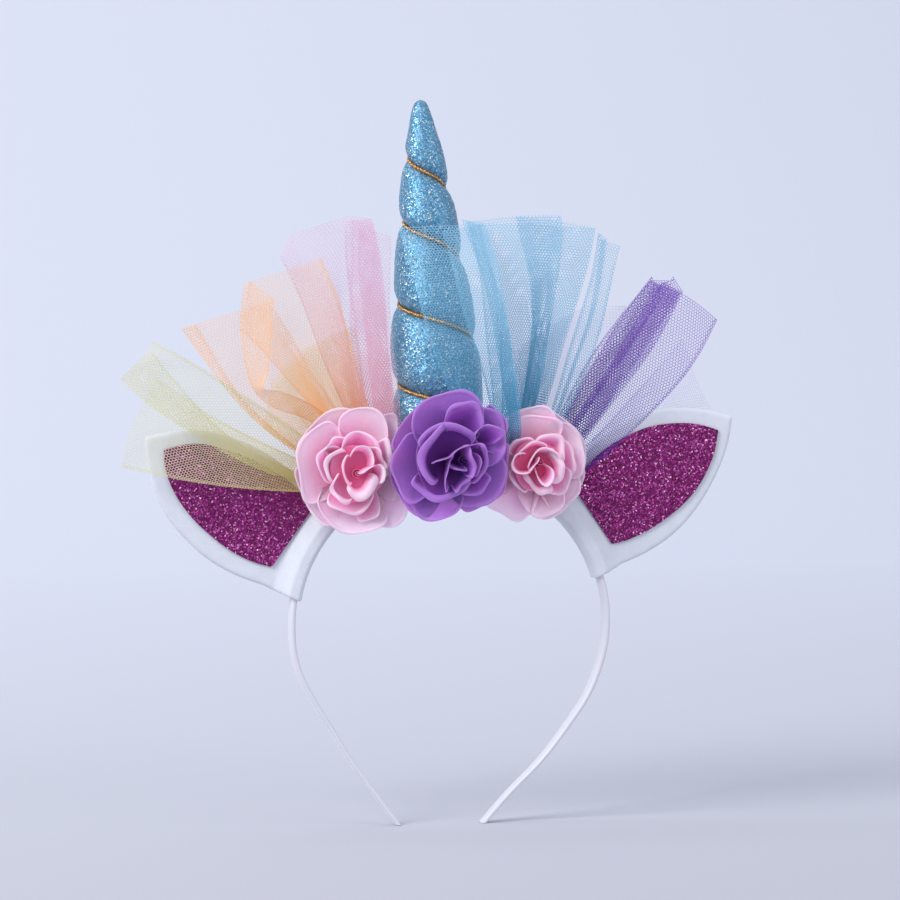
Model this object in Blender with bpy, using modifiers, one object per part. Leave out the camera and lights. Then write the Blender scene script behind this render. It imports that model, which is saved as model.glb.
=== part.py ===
"""Unicorn horn headband: a satin band with felt ears, a padded horn, three fabric roses and tulle.

Metres, +Z up, front towards -Y. The origin is at the inner top of the arch, where it sits on a head.
"""
import math

import bmesh
import bpy
from mathutils import Matrix, Vector

# Fit: the gap that touching pieces keep, and the wall of the cloth pieces
CLEARANCE = 0.0003
PETAL_WALL = 0.0009
TULLE_WALL = 0.0010

# Band: a springy arch covered in satin
BAND_HALF_SPAN = 0.0620       # centre to centre line at the widest place
BAND_ARCH_RISE = 0.0590       # from the widest place up to the top
BAND_LEG_DROP = 0.0785        # from the widest place down to the tips
BAND_WIDTH = 0.0080           # front to back
BAND_TIP_WIDTH = 0.0062
BAND_THICKNESS = 0.0022
BAND_LEG_STEPS = 9
BAND_ARCH_STEPS = 24
# Legs below the widest place: drop as a share of BAND_LEG_DROP, reach as shares of BAND_HALF_SPAN
BAND_LEGS = [
    # drop, left,  right
    (0.11, 0.995, 0.990),
    (0.24, 0.955, 0.950),
    (0.38, 0.865, 0.875),
    (0.52, 0.755, 0.755),
    (0.70, 0.615, 0.575),
    (0.86, 0.465, 0.370),
    (1.00, 0.335, 0.210),
]

# Ears: a leaf of felt with a smaller leaf of glitter sheet on its front
EAR_LENGTH = 0.0706           # from the foot of the glitter leaf to the felt's tip
EAR_HALF_WIDTH = 0.0243
EAR_FELT = 0.0030             # two felts glued together
EAR_TIP_MARGIN = 0.0095       # felt that shows past the glitter's tip
EAR_SIDE_MARGIN = 0.0068
EAR_GLITTER = 0.0008
SLEEVE_WALL = 0.0013          # felt folded round the band
SLEEVE_FLARE = 0.0085         # how far out the fold closes into the leaf
# Leaf outline: length as a share of its own length, half width as a share of its own half width
LEAF = [
    # along, half width
    (0.00, 0.800),
    (0.14, 0.945),
    (0.28, 1.000),
    (0.44, 0.970),
    (0.59, 0.870),
    (0.73, 0.715),
    (0.85, 0.510),
    (0.95, 0.245),
    (1.00, 0.000),
]
# Ears on the arch: side, place on the arch and tilt in degrees, foot of the glitter out from the band
LEFT_EAR = {"side": -1, "arch_angle": 61.5, "tilt": -4.6, "foot": 0.0100, "sleeve": (49.0, 83.0)}
RIGHT_EAR = {"side": 1, "arch_angle": 54.5, "tilt": 1.4, "foot": 0.0085, "sleeve": (43.0, 76.0)}

# Horn: a padded cone wound with a cord, leaning a little to the left and back
HORN_LENGTH = 0.1420
HORN_RADIUS = 0.0166
HORN_SEAT_X = -0.0028
HORN_SEAT_Y = 0.0020
HORN_LEAN_LEFT = 2.9          # degrees
HORN_LEAN_BACK = 3.0
HORN_GROOVE = 0.0013          # how deep the cord pulls the padding in
HORN_GROOVE_WIDTH = 0.20      # as a share of one turn of the cord
HORN_COLUMNS = 20
HORN_ROWS = 44
CORD_DIAMETER = 0.0013
CORD_SEAT = 0.0005            # from the cord to the padding under it
CORD_POINTS = 60
# Winding of the cord: distance from the tip as a share of HORN_LENGTH, turns from the left side
CORD_WINDS = [
    # along, turns
    (0.125, -0.22),
    (0.163, 0.00),
    (0.338, 1.00),
    (0.558, 2.00),
    (0.777, 3.00),
    (0.920, 3.65),
]
# Horn outline: distance from the tip as a share of HORN_LENGTH, radius as a share of HORN_RADIUS
HORN_PROFILE = [
    # along, radius
    (0.000, 0.00),
    (0.008, 0.11),
    (0.030, 0.18),
    (0.080, 0.29),
    (0.140, 0.41),
    (0.205, 0.50),
    (0.285, 0.60),
    (0.355, 0.68),
    (0.460, 0.79),
    (0.585, 0.92),
    (0.680, 0.99),
    (0.780, 1.00),
    (0.870, 0.98),
    (0.915, 0.86),
    (0.955, 0.66),
    (0.985, 0.40),
    (1.000, 0.24),
]

# Roses: centre of the back of the cup, radius and depth of the flower
LEFT_ROSE = {"name": "left_pink_rose", "x": -0.0405, "y": -0.0102, "z": 0.0015, "radius": 0.0228,
             "depth": 0.0175, "petals": 5, "turn": 10.0, "colour": (0.86, 0.36, 0.56), "stub_x": -0.0425}
MIDDLE_ROSE = {"name": "purple_rose", "x": -0.0050, "y": -0.0187, "z": 0.0066, "radius": 0.0240,
               "depth": 0.0185, "petals": 6, "turn": -14.0, "colour": (0.24, 0.09, 0.52), "stub_x": -0.0045}
RIGHT_ROSE = {"name": "right_pink_rose", "x": 0.0305, "y": -0.0100, "z": 0.0042, "radius": 0.0212,
              "depth": 0.0170, "petals": 5, "turn": 28.0, "colour": (0.86, 0.36, 0.56), "stub_x": 0.0290}
# Whorls of petals, from the outside in: radius as a share of the rose's radius, foot radius and
# height of the rim as shares of its depth, share of lobing, and how far the rim rolls outward
WHORLS = [
    # name,           radius, foot, rim,  lobe, roll, petals less than the outer ring
    ("outer_petals",  1.00,  0.42, 0.42, 0.17, 0.16, 0),
    ("middle_petals", 0.70,  0.33, 0.70, 0.15, 0.12, 0),
    ("inner_petals",  0.42,  0.22, 0.88, 0.13, 0.08, 2),
]
PETAL_COLUMNS = [6, 5, 5]     # faces across one petal of each whorl
PETAL_ROWS = 4
WHORL_TURN = 33.0             # degrees from one whorl to the next
CUP_FLOOR = 0.25              # share of a petal's rows that is the flat floor of its cup
CUP_OPENING = 1.35            # above 1: the petal runs outward early
CUP_RISE = 1.6                # above 1: the petal rises late
PETAL_ROUNDING = 2.4          # above 2: a blunter petal
PETAL_OVERLAP = 0.16          # slope across a petal, as a share of its height
CURL_START = 0.72             # where the rim starts to roll
BUD_RADIUS = 0.215            # shares of the rose's radius
BUD_CORE = 0.22               # radius of the bud's first turn, as a share of its last
BUD_FOOT = 0.72               # radius at the bud's foot, as a share of its rim
BUD_SLOPE = 0.16              # how much lower the last turn ends than the first
BUD_TURNS = 1.7
BUD_COLUMNS = 14
BUD_ROWS = 2
SEPALS = 5
SEPAL_COLUMNS = 4             # faces across one sepal
SEPAL_TURN = 20.0
SEPAL_POINT = 2.2             # above 1: a slimmer sepal
SEPAL_LENGTH = 0.86
SEPAL_FOOT = 0.34
STEM_FLARE = 0.55             # width of the stem behind the sepals, as a share of their foot
STUB_RADIUS = 0.0025          # glued end of the stem on the band

# Tulle: sheets of net gathered on the band and fanned out
TULLE_REACH = 0.1000
TULLE_LANE = 0.0013           # from one sheet to the next at the gathers
TULLE_FIRST_LANE = -0.0022
TULLE_PLEAT = 0.0009          # half the depth of a pleat at the free edge
TULLE_ROWS = 3
VEIL_ROWS = 7
LEFT_GATHER = -0.0280
RIGHT_GATHER = 0.0220
# Where each lane has come to at TULLE_REACH, as shares of it
LANE_SPREAD = [-0.12, -0.08, -0.04, 0.10]
VEIL_ROOT = -0.0049
VEIL_FRONT = -0.0156          # in front of the horn's widest part
VEIL_TOP = -0.0125
VEIL_RISE = 0.0150            # height over which a veil comes forward

# Sheets of tulle. root: first and last place on the band; lane: 0 in front; pleats across;
# bow: how far the last side edge sags; edge: corners of the free edge as angles from upright
# in degrees and reach as shares of TULLE_REACH
SHEETS = [
    {"name": "yellow_lower_tulle", "gather": LEFT_GATHER, "root": (-0.0300, -0.0360), "lane": 0, "pleats": 2,
     "bow": -0.05, "edge": [(-73.0, 1.01), (-80.0, 1.02), (-88.0, 1.06)], "colour": (0.90, 0.87, 0.52)},
    {"name": "yellow_upper_tulle", "gather": LEFT_GATHER, "root": (-0.0300, -0.0385), "lane": 1, "pleats": 3,
     "bow": -0.02, "edge": [(-61.0, 1.05), (-70.5, 1.10)], "colour": (0.86, 0.84, 0.42)},
    {"name": "yellow_back_tulle", "gather": LEFT_GATHER, "root": (-0.0225, -0.0310), "lane": 3, "pleats": 2,
     "bow": 0.0, "edge": [(-19.0, 0.56), (-40.0, 0.56), (-45.6, 0.57)], "colour": (0.88, 0.85, 0.50)},
    {"name": "orange_left_tulle", "gather": LEFT_GATHER, "root": (-0.0275, -0.0350), "lane": 2, "pleats": 2,
     "bow": -0.04, "edge": [(-42.5, 0.85), (-55.0, 0.98)], "colour": (0.95, 0.66, 0.48)},
    {"name": "orange_fold_tulle", "gather": LEFT_GATHER, "root": (-0.0255, -0.0300), "lane": 0, "pleats": 1,
     "bow": -0.03, "edge": [(-33.5, 0.80), (-37.5, 0.92)], "colour": (0.95, 0.58, 0.32)},
    {"name": "orange_wide_tulle", "gather": LEFT_GATHER, "root": (-0.0210, -0.0280), "lane": 1, "pleats": 3,
     "bow": 0.0, "edge": [(-16.0, 0.86), (-26.5, 0.89), (-36.5, 0.92)], "colour": (0.95, 0.66, 0.48)},
    {"name": "pink_wide_tulle", "gather": LEFT_GATHER, "root": (-0.0205, -0.0262), "lane": 2, "pleats": 4,
     "bow": 0.0, "edge": [(-2.7, 0.99), (-9.0, 0.99), (-21.0, 0.985), (-26.0, 0.92)],
     "colour": (0.93, 0.66, 0.74)},
    {"name": "pink_strip_tulle", "gather": LEFT_GATHER, "root": (-0.0170, -0.0235), "lane": 0, "pleats": 2,
     "bow": 0.0, "edge": [(0.5, 0.92), (-4.0, 0.975)], "colour": (0.93, 0.66, 0.74)},
    {"name": "blue_veil_tulle", "gather": RIGHT_GATHER, "root": (0.0090, 0.0030), "lane": "veil", "pleats": 3,
     "bow": -0.03, "edge": [(-6.0, 0.99), (-12.0, 1.01), (-25.5, 1.07)], "colour": (0.22, 0.52, 0.72)},
    {"name": "blue_wide_tulle", "gather": RIGHT_GATHER, "root": (0.0225, 0.0160), "lane": 1, "pleats": 4,
     "bow": 0.0, "edge": [(19.5, 1.04), (9.0, 1.00), (-9.0, 0.99)], "colour": (0.22, 0.52, 0.72)},
    {"name": "blue_right_tulle", "gather": RIGHT_GATHER, "root": (0.0255, 0.0205), "lane": 0, "pleats": 3,
     "bow": 0.0, "edge": [(26.5, 1.00), (20.0, 1.00)], "colour": (0.22, 0.52, 0.72)},
    {"name": "purple_left_tulle", "gather": RIGHT_GATHER, "root": (0.0310, 0.0240), "lane": 1, "pleats": 3,
     "bow": 0.0, "edge": [(42.0, 0.98), (35.5, 0.94)], "colour": (0.22, 0.08, 0.55)},
    {"name": "purple_right_tulle", "gather": RIGHT_GATHER, "root": (0.0360, 0.0290), "lane": 0, "pleats": 3,
     "bow": 0.02, "edge": [(55.0, 0.99), (40.5, 0.98)], "colour": (0.22, 0.08, 0.55)},
    {"name": "lavender_upper_tulle", "gather": RIGHT_GATHER, "root": (0.0265, 0.0180), "lane": 2, "pleats": 2,
     "bow": 0.0, "edge": [(36.5, 0.80), (20.0, 0.56)], "colour": (0.66, 0.60, 0.82)},
    {"name": "lavender_right_tulle", "gather": RIGHT_GATHER, "root": (0.0370, 0.0290), "lane": 3, "pleats": 2,
     "bow": 0.02, "edge": [(76.0, 0.90), (59.0, 0.86)], "colour": (0.66, 0.60, 0.82)},
]


def clear_scene():
    """Remove whatever the new file starts with."""
    for item in list(bpy.data.objects):
        bpy.data.objects.remove(item, do_unlink=True)


def new_collection(name):
    group = bpy.data.collections.new(name)
    bpy.context.scene.collection.children.link(group)
    return group


def material(name, colour, roughness, metallic=0.0):
    """A Principled material with one colour."""
    result = bpy.data.materials.new(name)
    result.use_nodes = True
    shader = result.node_tree.nodes["Principled BSDF"]
    shader.inputs["Base Color"].default_value = (*colour, 1.0)
    shader.inputs["Roughness"].default_value = roughness
    shader.inputs["Metallic"].default_value = metallic
    return result


def place(obj, group, look):
    """Put a finished object into its collection and give it its material."""
    for owner in list(obj.users_collection):
        owner.objects.unlink(obj)
    group.objects.link(obj)
    obj.data.materials.clear()
    obj.data.materials.append(look)
    return obj


def smooth_shade(obj, angle=40.0):
    obj.data.shade_smooth()
    obj.data.set_sharp_from_angle(angle=math.radians(angle))


def read_table(rows, column, at):
    """Smooth value of a table's column at a place along its first column."""
    last = len(rows) - 1
    index = 0
    while index < last - 1 and at > rows[index + 1][0]:
        index += 1
    low, high = rows[index], rows[index + 1]
    before, after = rows[max(index - 1, 0)], rows[min(index + 2, last)]
    span = high[0] - low[0]
    share = min(max((at - low[0]) / span, 0.0), 1.0)
    slope_low = (high[column] - before[column]) / max(high[0] - before[0], 1e-9) * span
    slope_high = (after[column] - low[column]) / max(after[0] - low[0], 1e-9) * span
    square = share * share
    cube = square * share
    return ((2 * cube - 3 * square + 1) * low[column] + (cube - 2 * square + share) * slope_low
            + (3 * square - 2 * cube) * high[column] + (cube - square) * slope_high)


def ease(share):
    """A smooth step from 0 to 1."""
    share = min(max(share, 0.0), 1.0)
    return share * share * (3.0 - 2.0 * share)


def grid_solid(name, columns, rows, surface, wall=0.0):
    """A grid shaped by surface(u, v); a wall makes it a shell, and without one it has to close."""
    mesh = bpy.data.meshes.new(name)
    grid = bmesh.new()
    bmesh.ops.create_grid(grid, x_segments=columns, y_segments=rows, size=0.5)
    for vertex in grid.verts:
        vertex.co = surface(vertex.co.x + 0.5, vertex.co.y + 0.5)
    bmesh.ops.remove_doubles(grid, verts=grid.verts, dist=0.00002)
    bmesh.ops.dissolve_degenerate(grid, edges=grid.edges, dist=0.00001)
    bmesh.ops.recalc_face_normals(grid, faces=grid.faces)
    grid.to_mesh(mesh)
    grid.free()
    obj = bpy.data.objects.new(name, mesh)
    bpy.context.scene.collection.objects.link(obj)
    if wall:
        shell = obj.modifiers.new("wall", "SOLIDIFY")
        shell.thickness = wall
        shell.offset = 0.0
        shell.use_even_offset = False
    return obj


def curve_mesh(name, curve_object):
    """The closed mesh of a curve object, which is removed."""
    bpy.context.view_layer.update()
    graph = bpy.context.evaluated_depsgraph_get()
    mesh = bpy.data.meshes.new_from_object(curve_object.evaluated_get(graph))
    cleaned = bmesh.new()
    cleaned.from_mesh(mesh)
    bmesh.ops.remove_doubles(cleaned, verts=cleaned.verts, dist=0.00002)
    bmesh.ops.recalc_face_normals(cleaned, faces=cleaned.faces)
    cleaned.to_mesh(mesh)
    cleaned.free()
    obj = bpy.data.objects.new(name, mesh)
    obj.matrix_world = curve_object.matrix_world
    bpy.context.scene.collection.objects.link(obj)
    bpy.data.objects.remove(curve_object, do_unlink=True)
    return obj


def plate(name, outline, thickness, depth):
    """A flat plate in the XZ plane from an outline of (x, z), its middle at the depth y."""
    curve = bpy.data.curves.new(name + "_outline", "CURVE")
    curve.dimensions = "2D"
    curve.fill_mode = "BOTH"
    curve.extrude = thickness / 2
    line = curve.splines.new("POLY")
    line.points.add(len(outline) - 1)
    for point, (x, z) in zip(line.points, outline):
        point.co = (x, z, 0.0, 1.0)
    line.use_cyclic_u = True
    obj = bpy.data.objects.new(name + "_outline", curve)
    obj.matrix_world = Matrix.Translation((0.0, depth, 0.0)) @ Matrix.Rotation(math.radians(90), 4, "X")
    bpy.context.scene.collection.objects.link(obj)
    return curve_mesh(name, obj)


def apply_boolean(obj, other, operation):
    """Join or cut with another solid, which is removed, and keep the result as the mesh."""
    change = obj.modifiers.new("boolean", "BOOLEAN")
    change.operation = operation
    change.object = other
    change.solver = "EXACT"
    bpy.context.view_layer.update()
    graph = bpy.context.evaluated_depsgraph_get()
    mesh = bpy.data.meshes.new_from_object(obj.evaluated_get(graph))
    obj.modifiers.remove(change)
    obj.data = mesh
    bpy.data.objects.remove(other, do_unlink=True)
    return obj


def arch_point(angle, side, out=0.0):
    """A point of the arch, by its angle from the top in degrees, out from the centre line."""
    turn = math.radians(angle)
    x = side * (BAND_HALF_SPAN + out) * math.sin(turn)
    z = (BAND_ARCH_RISE + out) * math.cos(turn) - BAND_ARCH_RISE + BAND_THICKNESS / 2
    return Vector((x, 0.0, z))


def band_top(x):
    """Height of the arch's outer face over a place x."""
    share = min(abs(x) / (BAND_HALF_SPAN + BAND_THICKNESS / 2), 1.0)
    return arch_point(math.degrees(math.asin(share)), 1, BAND_THICKNESS / 2).z


def leg_point(drop, side):
    """A point of a leg below the widest place, by its share of the drop."""
    rows = [(0.0, 1.0, 1.0)] + BAND_LEGS
    reach = read_table(rows, 1 if side < 0 else 2, drop)
    z = BAND_THICKNESS / 2 - BAND_ARCH_RISE - drop * BAND_LEG_DROP
    return Vector((side * BAND_HALF_SPAN * reach, 0.0, z))


def band_line():
    """Centre line of the whole band, left tip to right tip, as (point, leg share)."""
    steps = BAND_LEG_STEPS
    left = [(leg_point(1.0 - step / steps, -1), 1.0 - step / steps) for step in range(steps)]
    right = [(leg_point(step / steps, 1), step / steps) for step in range(1, steps + 1)]
    arch = []
    for step in range(BAND_ARCH_STEPS + 1):
        angle = -90.0 + step * 180.0 / BAND_ARCH_STEPS
        arch.append((arch_point(abs(angle), -1 if angle < 0 else 1), 0.0))
    return left + arch + right


def band_section(width, thickness):
    """A flat bar with bevelled edges, as (out, y)."""
    half = thickness / 2
    edge = width / 2
    return [(half, edge - half), (0.0, edge), (-half, edge - half),
            (-half, half - edge), (0.0, -edge), (half, half - edge)]


def sweep(name, line, section_at):
    """A closed solid through the sections set square to a line in the XZ plane."""
    rings = []
    for index, point in enumerate(line):
        before = line[max(index - 1, 0)]
        after = line[min(index + 1, len(line) - 1)]
        along = (after - before).normalized()
        out = Vector((-along.z, 0.0, along.x))
        rings.append([point + out * away + Vector((0.0, depth, 0.0)) for away, depth in section_at(index)])
    shape = bmesh.new()
    loops = [[shape.verts.new(corner) for corner in ring] for ring in rings]
    count = len(loops[0])
    for first, second in zip(loops, loops[1:]):
        for step in range(count):
            other = (step + 1) % count
            shape.faces.new((first[step], first[other], second[other], second[step]))
    shape.faces.new(loops[0])
    shape.faces.new(loops[-1])
    bmesh.ops.recalc_face_normals(shape, faces=shape.faces)
    mesh = bpy.data.meshes.new(name)
    shape.to_mesh(mesh)
    shape.free()
    obj = bpy.data.objects.new(name, mesh)
    bpy.context.scene.collection.objects.link(obj)
    return obj


def make_band(group):
    """The band: a round-edged bar along the arch and the legs, cut flat at the tips."""
    line = band_line()
    floor = line[0][0].z

    def section_at(index):
        share = line[index][1]
        width = BAND_WIDTH + (BAND_TIP_WIDTH - BAND_WIDTH) * ease(share)
        return band_section(width, BAND_THICKNESS)

    obj = sweep("headband", [point for point, _ in line], section_at)
    for vertex in obj.data.vertices:
        near_tip = abs(vertex.co.z - floor) < BAND_THICKNESS
        if near_tip and min(abs(vertex.co.x - line[0][0].x), abs(vertex.co.x - line[-1][0].x)) < BAND_THICKNESS:
            vertex.co.z = floor
    smooth_shade(obj, 50.0)
    place(obj, group, material("satin", (0.90, 0.90, 0.93), 0.35))


def ear_frame(ear):
    """Foot of the glitter leaf and the leaf's directions: out along it, and up across it."""
    side = ear["side"]
    lean = math.radians(ear["arch_angle"] + ear["tilt"])
    along = Vector((side * math.sin(lean), 0.0, math.cos(lean)))
    across = Vector((-side * along.z, 0.0, abs(along.x)))
    foot = arch_point(ear["arch_angle"], side, BAND_THICKNESS / 2 + ear["foot"])
    return foot, along, across


def leaf_outline(ear, length, half_width, steps=9):
    """Outline of a leaf as (x, z), from its lower foot round the tip to its upper foot."""
    foot, along, across = ear_frame(ear)
    half = []
    for step in range(steps * 2 + 1):
        share = math.sin(step / (steps * 2) * math.pi / 2)
        half.append((share, max(read_table(LEAF, 1, share), 0.0)))
    lower = [foot + along * share * length - across * wide * half_width for share, wide in half]
    upper = [foot + along * share * length + across * wide * half_width
             for share, wide in reversed(half[:-1])]
    return [(point.x, point.z) for point in lower + upper]


def sleeve_section(out_reach, half_depth, felt):
    """Teardrop round the band: wide at the band, closing outward into the leaf, as (out, y)."""
    inner = -(BAND_THICKNESS / 2 + CLEARANCE + SLEEVE_WALL)
    points = []
    for side in (1, -1):
        rows = [(inner, 0.62), (inner + SLEEVE_WALL, 1.0), (-inner, 1.0),
                (-inner + (out_reach + inner) * 0.45, 0.60), (out_reach, felt / 2 / half_depth)]
        ordered = rows if side > 0 else list(reversed(rows))
        points += [(away, side * share * half_depth) for away, share in ordered]
    return points


def make_ear(ear, label, group):
    """One ear: a felt leaf in one piece with the sleeve round the band, and its glitter leaf."""
    side = ear["side"]
    outline = leaf_outline(ear, EAR_LENGTH, EAR_HALF_WIDTH)
    first, last = ear["sleeve"]
    steps = 6
    angles = [first + (last - first) * step / steps for step in range(steps + 1)]
    seam = [arch_point(angle, side, BAND_THICKNESS / 2 + CLEARANCE + SLEEVE_WALL) for angle in angles]
    felt_outline = outline + [(point.x, point.z) for point in seam]
    felt = plate(label + "_ear_felt", felt_outline, EAR_FELT, 0.0)
    line = [arch_point(angle, side) for angle in angles]
    half_depth = BAND_WIDTH / 2 + CLEARANCE + SLEEVE_WALL

    def sleeve_at(index):
        return sleeve_section(SLEEVE_FLARE, half_depth, EAR_FELT)

    sleeve = sweep(label + "_sleeve", line if side > 0 else list(reversed(line)), sleeve_at)
    apply_boolean(felt, sleeve, "UNION")
    beyond = [first - 4.0] + angles + [last + 4.0]
    passage_line = [arch_point(angle, side) for angle in beyond]

    def passage_at(index):
        return band_section(BAND_WIDTH + 2 * CLEARANCE, BAND_THICKNESS + 2 * CLEARANCE)

    passage = sweep(label + "_passage", passage_line if side > 0 else list(reversed(passage_line)), passage_at)
    apply_boolean(felt, passage, "DIFFERENCE")
    smooth_shade(felt, 35.0)
    place(felt, group, material(label + "_felt", (0.88, 0.89, 0.93), 0.95))
    front = -EAR_FELT / 2 - CLEARANCE - EAR_GLITTER / 2
    leaf = leaf_outline(ear, EAR_LENGTH - EAR_TIP_MARGIN, EAR_HALF_WIDTH - EAR_SIDE_MARGIN)
    glitter = plate(label + "_ear_glitter", leaf, EAR_GLITTER, front)
    place(glitter, group, material(label + "_glitter", (0.36, 0.01, 0.22), 0.40, 0.3))


def horn_frame():
    """Matrix from the horn's own frame, its seat at the origin and +Z to its tip."""
    seat = Vector((HORN_SEAT_X, HORN_SEAT_Y, BAND_THICKNESS + CLEARANCE))
    lean_left = Matrix.Rotation(math.radians(-HORN_LEAN_LEFT), 4, "Y")
    lean_back = Matrix.Rotation(math.radians(-HORN_LEAN_BACK), 4, "X")
    return Matrix.Translation(seat) @ lean_left @ lean_back


def cord_angle(along):
    """Direction of the cord round the horn, at a share of its length from the tip."""
    return math.pi + 2 * math.pi * read_table(CORD_WINDS, 1, along)


def horn_radius(along, angle):
    """Radius of the padded horn at a share of its length from the tip, with the cord's groove."""
    radius = HORN_RADIUS * read_table(HORN_PROFILE, 1, along)
    turns = (cord_angle(along) - angle) / (2 * math.pi)
    away = abs(turns - round(turns))
    first, last = CORD_WINDS[0][0], CORD_WINDS[-1][0]
    pulled = ease((along - first + 0.05) / 0.05) * ease((last + 0.03 - along) / 0.03)
    depth = HORN_GROOVE * pulled * math.exp(-(away / HORN_GROOVE_WIDTH) ** 2)
    return radius - depth * min(1.0, 2 * radius / HORN_RADIUS)


def make_horn(group):
    """The padded horn with its groove, and the cord wound in it."""
    frame = horn_frame()

    def surface(u, v):
        angle = u * 2 * math.pi
        if v < 0.0001 or v > 0.9999:
            return frame @ Vector((0.0, 0.0, HORN_LENGTH * v))
        along = 1.0 - (v * HORN_ROWS - 1.0) / (HORN_ROWS - 1.0)
        radius = horn_radius(along, angle)
        return frame @ Vector((radius * math.cos(angle), radius * math.sin(angle), HORN_LENGTH * (1.0 - along)))

    horn = grid_solid("horn", HORN_COLUMNS, HORN_ROWS, surface)
    smooth_shade(horn, 60.0)
    place(horn, group, material("blue_glitter", (0.10, 0.36, 0.60), 0.35, 0.4))

    curve = bpy.data.curves.new("cord_line", "CURVE")
    curve.dimensions = "3D"
    curve.bevel_depth = CORD_DIAMETER / 2
    curve.bevel_resolution = 1
    curve.use_fill_caps = True
    line = curve.splines.new("POLY")
    line.points.add(CORD_POINTS)
    first, last = CORD_WINDS[0][0], CORD_WINDS[-1][0]
    for index in range(CORD_POINTS + 1):
        along = first + (last - first) * index / CORD_POINTS
        angle = cord_angle(along)
        radius = horn_radius(along, angle) + CORD_DIAMETER / 2 + CORD_SEAT
        spot = frame @ Vector((radius * math.cos(angle), radius * math.sin(angle), HORN_LENGTH * (1.0 - along)))
        line.points[index].co = (*spot, 1.0)
    tube = bpy.data.objects.new("cord_line", curve)
    bpy.context.scene.collection.objects.link(tube)
    cord = curve_mesh("horn_cord", tube)
    smooth_shade(cord, 60.0)
    place(cord, group, material("gold_cord", (0.55, 0.34, 0.14), 0.35, 0.8))


def petal_ring(name, rose, whorl, order, group, look):
    """One whorl: overlapping round petals round a cup, set inside the whorl before it."""
    _, reach, foot, rim, lobe, roll, fewer = whorl
    petals = rose["petals"] - fewer
    back = (PETAL_WALL + CLEARANCE) * order + PETAL_WALL / 2
    outer = rose["radius"] * reach
    inner = rose["radius"] * foot
    height = rose["depth"] * rim - back
    turn = math.radians(rose["turn"] + WHORL_TURN * order)
    ramp = height * PETAL_OVERLAP
    centre = Vector((rose["x"], rose["y"], rose["z"]))

    def surface(u, v):
        angle = u * 2 * math.pi + turn
        part = (u * petals) % 1.0
        if v < CUP_FLOOR - 0.0001:
            return centre + Vector((0.0, -back, 0.0))
        share = (v - CUP_FLOOR) / (1.0 - CUP_FLOOR)
        round_edge = 1.0 - lobe * abs(2 * part - 1.0) ** PETAL_ROUNDING
        reach_here = inner + (outer * round_edge - inner) * (1.0 - (1.0 - share) ** CUP_OPENING)
        lift = height * share ** CUP_RISE + ramp * (part - 0.5) * share * share
        curl = rose["radius"] * roll * ease((v - CURL_START) / (1.0 - CURL_START))
        return centre + Vector((reach_here * math.cos(angle), curl - back - lift, reach_here * math.sin(angle)))

    obj = grid_solid(name, petals * PETAL_COLUMNS[order], PETAL_ROWS, surface, PETAL_WALL)
    smooth_shade(obj, 60.0)
    return place(obj, group, look)


def make_bud(name, rose, group, look):
    """The rolled heart of a rose: one strip wound in a spiral."""
    order = len(WHORLS)
    back = (PETAL_WALL + CLEARANCE) * order + CLEARANCE
    height = rose["depth"] - back
    widest = rose["radius"] * BUD_RADIUS
    centre = Vector((rose["x"], rose["y"], rose["z"]))

    def surface(u, v):
        angle = u * BUD_TURNS * 2 * math.pi + math.radians(rose["turn"])
        radius = widest * (BUD_CORE + (1.0 - BUD_CORE) * u) * (BUD_FOOT + (1.0 - BUD_FOOT) * v)
        rise = back + height * v * (1.0 - BUD_SLOPE * u)
        return centre + Vector((radius * math.cos(angle), -rise, radius * math.sin(angle)))

    obj = grid_solid(name, BUD_COLUMNS, BUD_ROWS, surface, PETAL_WALL)
    smooth_shade(obj, 60.0)
    return place(obj, group, look)


def make_calyx(name, rose, group, look):
    """Green sepals behind the petals, with a stem that is glued to the front of the band."""
    centre = Vector((rose["x"], rose["y"] + CLEARANCE, rose["z"]))
    stub = Vector((rose["stub_x"], -BAND_WIDTH / 2 - CLEARANCE, band_top(rose["stub_x"]) - BAND_THICKNESS / 2))
    behind = centre + Vector((0.0, PETAL_WALL, 0.0))
    tip = rose["radius"] * SEPAL_LENGTH
    foot = rose["radius"] * SEPAL_FOOT
    # Rings from the glued end of the stem to the front of the sepals: centre, and radius or star
    rings = [(stub, 0.0), (stub, STUB_RADIUS), (behind, foot * STEM_FLARE), (behind, foot),
             (behind, "star"), (centre, "star"), (centre, 0.0)]

    def surface(u, v):
        angle = u * 2 * math.pi + math.radians(rose["turn"] + SEPAL_TURN)
        part = abs(((u * SEPALS) % 1.0) * 2 - 1.0)
        star = foot + (tip - foot) * part ** SEPAL_POINT
        middle, radius = rings[round(v * (len(rings) - 1))]
        reach = star if radius == "star" else radius
        return middle + Vector((math.cos(angle), 0.0, math.sin(angle))) * reach

    obj = grid_solid(name, SEPALS * SEPAL_COLUMNS, len(rings) - 1, surface)
    smooth_shade(obj, 35.0)
    return place(obj, group, look)


def make_rose(rose, group):
    look = material(rose["name"] + "_cloth", rose["colour"], 0.75)
    green = material(rose["name"] + "_green", (0.20, 0.24, 0.10), 0.70)
    for order, whorl in enumerate(WHORLS):
        petal_ring(rose["name"] + "_" + whorl[0], rose, whorl, order, group, look)
    make_bud(rose["name"] + "_bud", rose, group, look)
    make_calyx(rose["name"] + "_calyx", rose, group, green)


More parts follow.
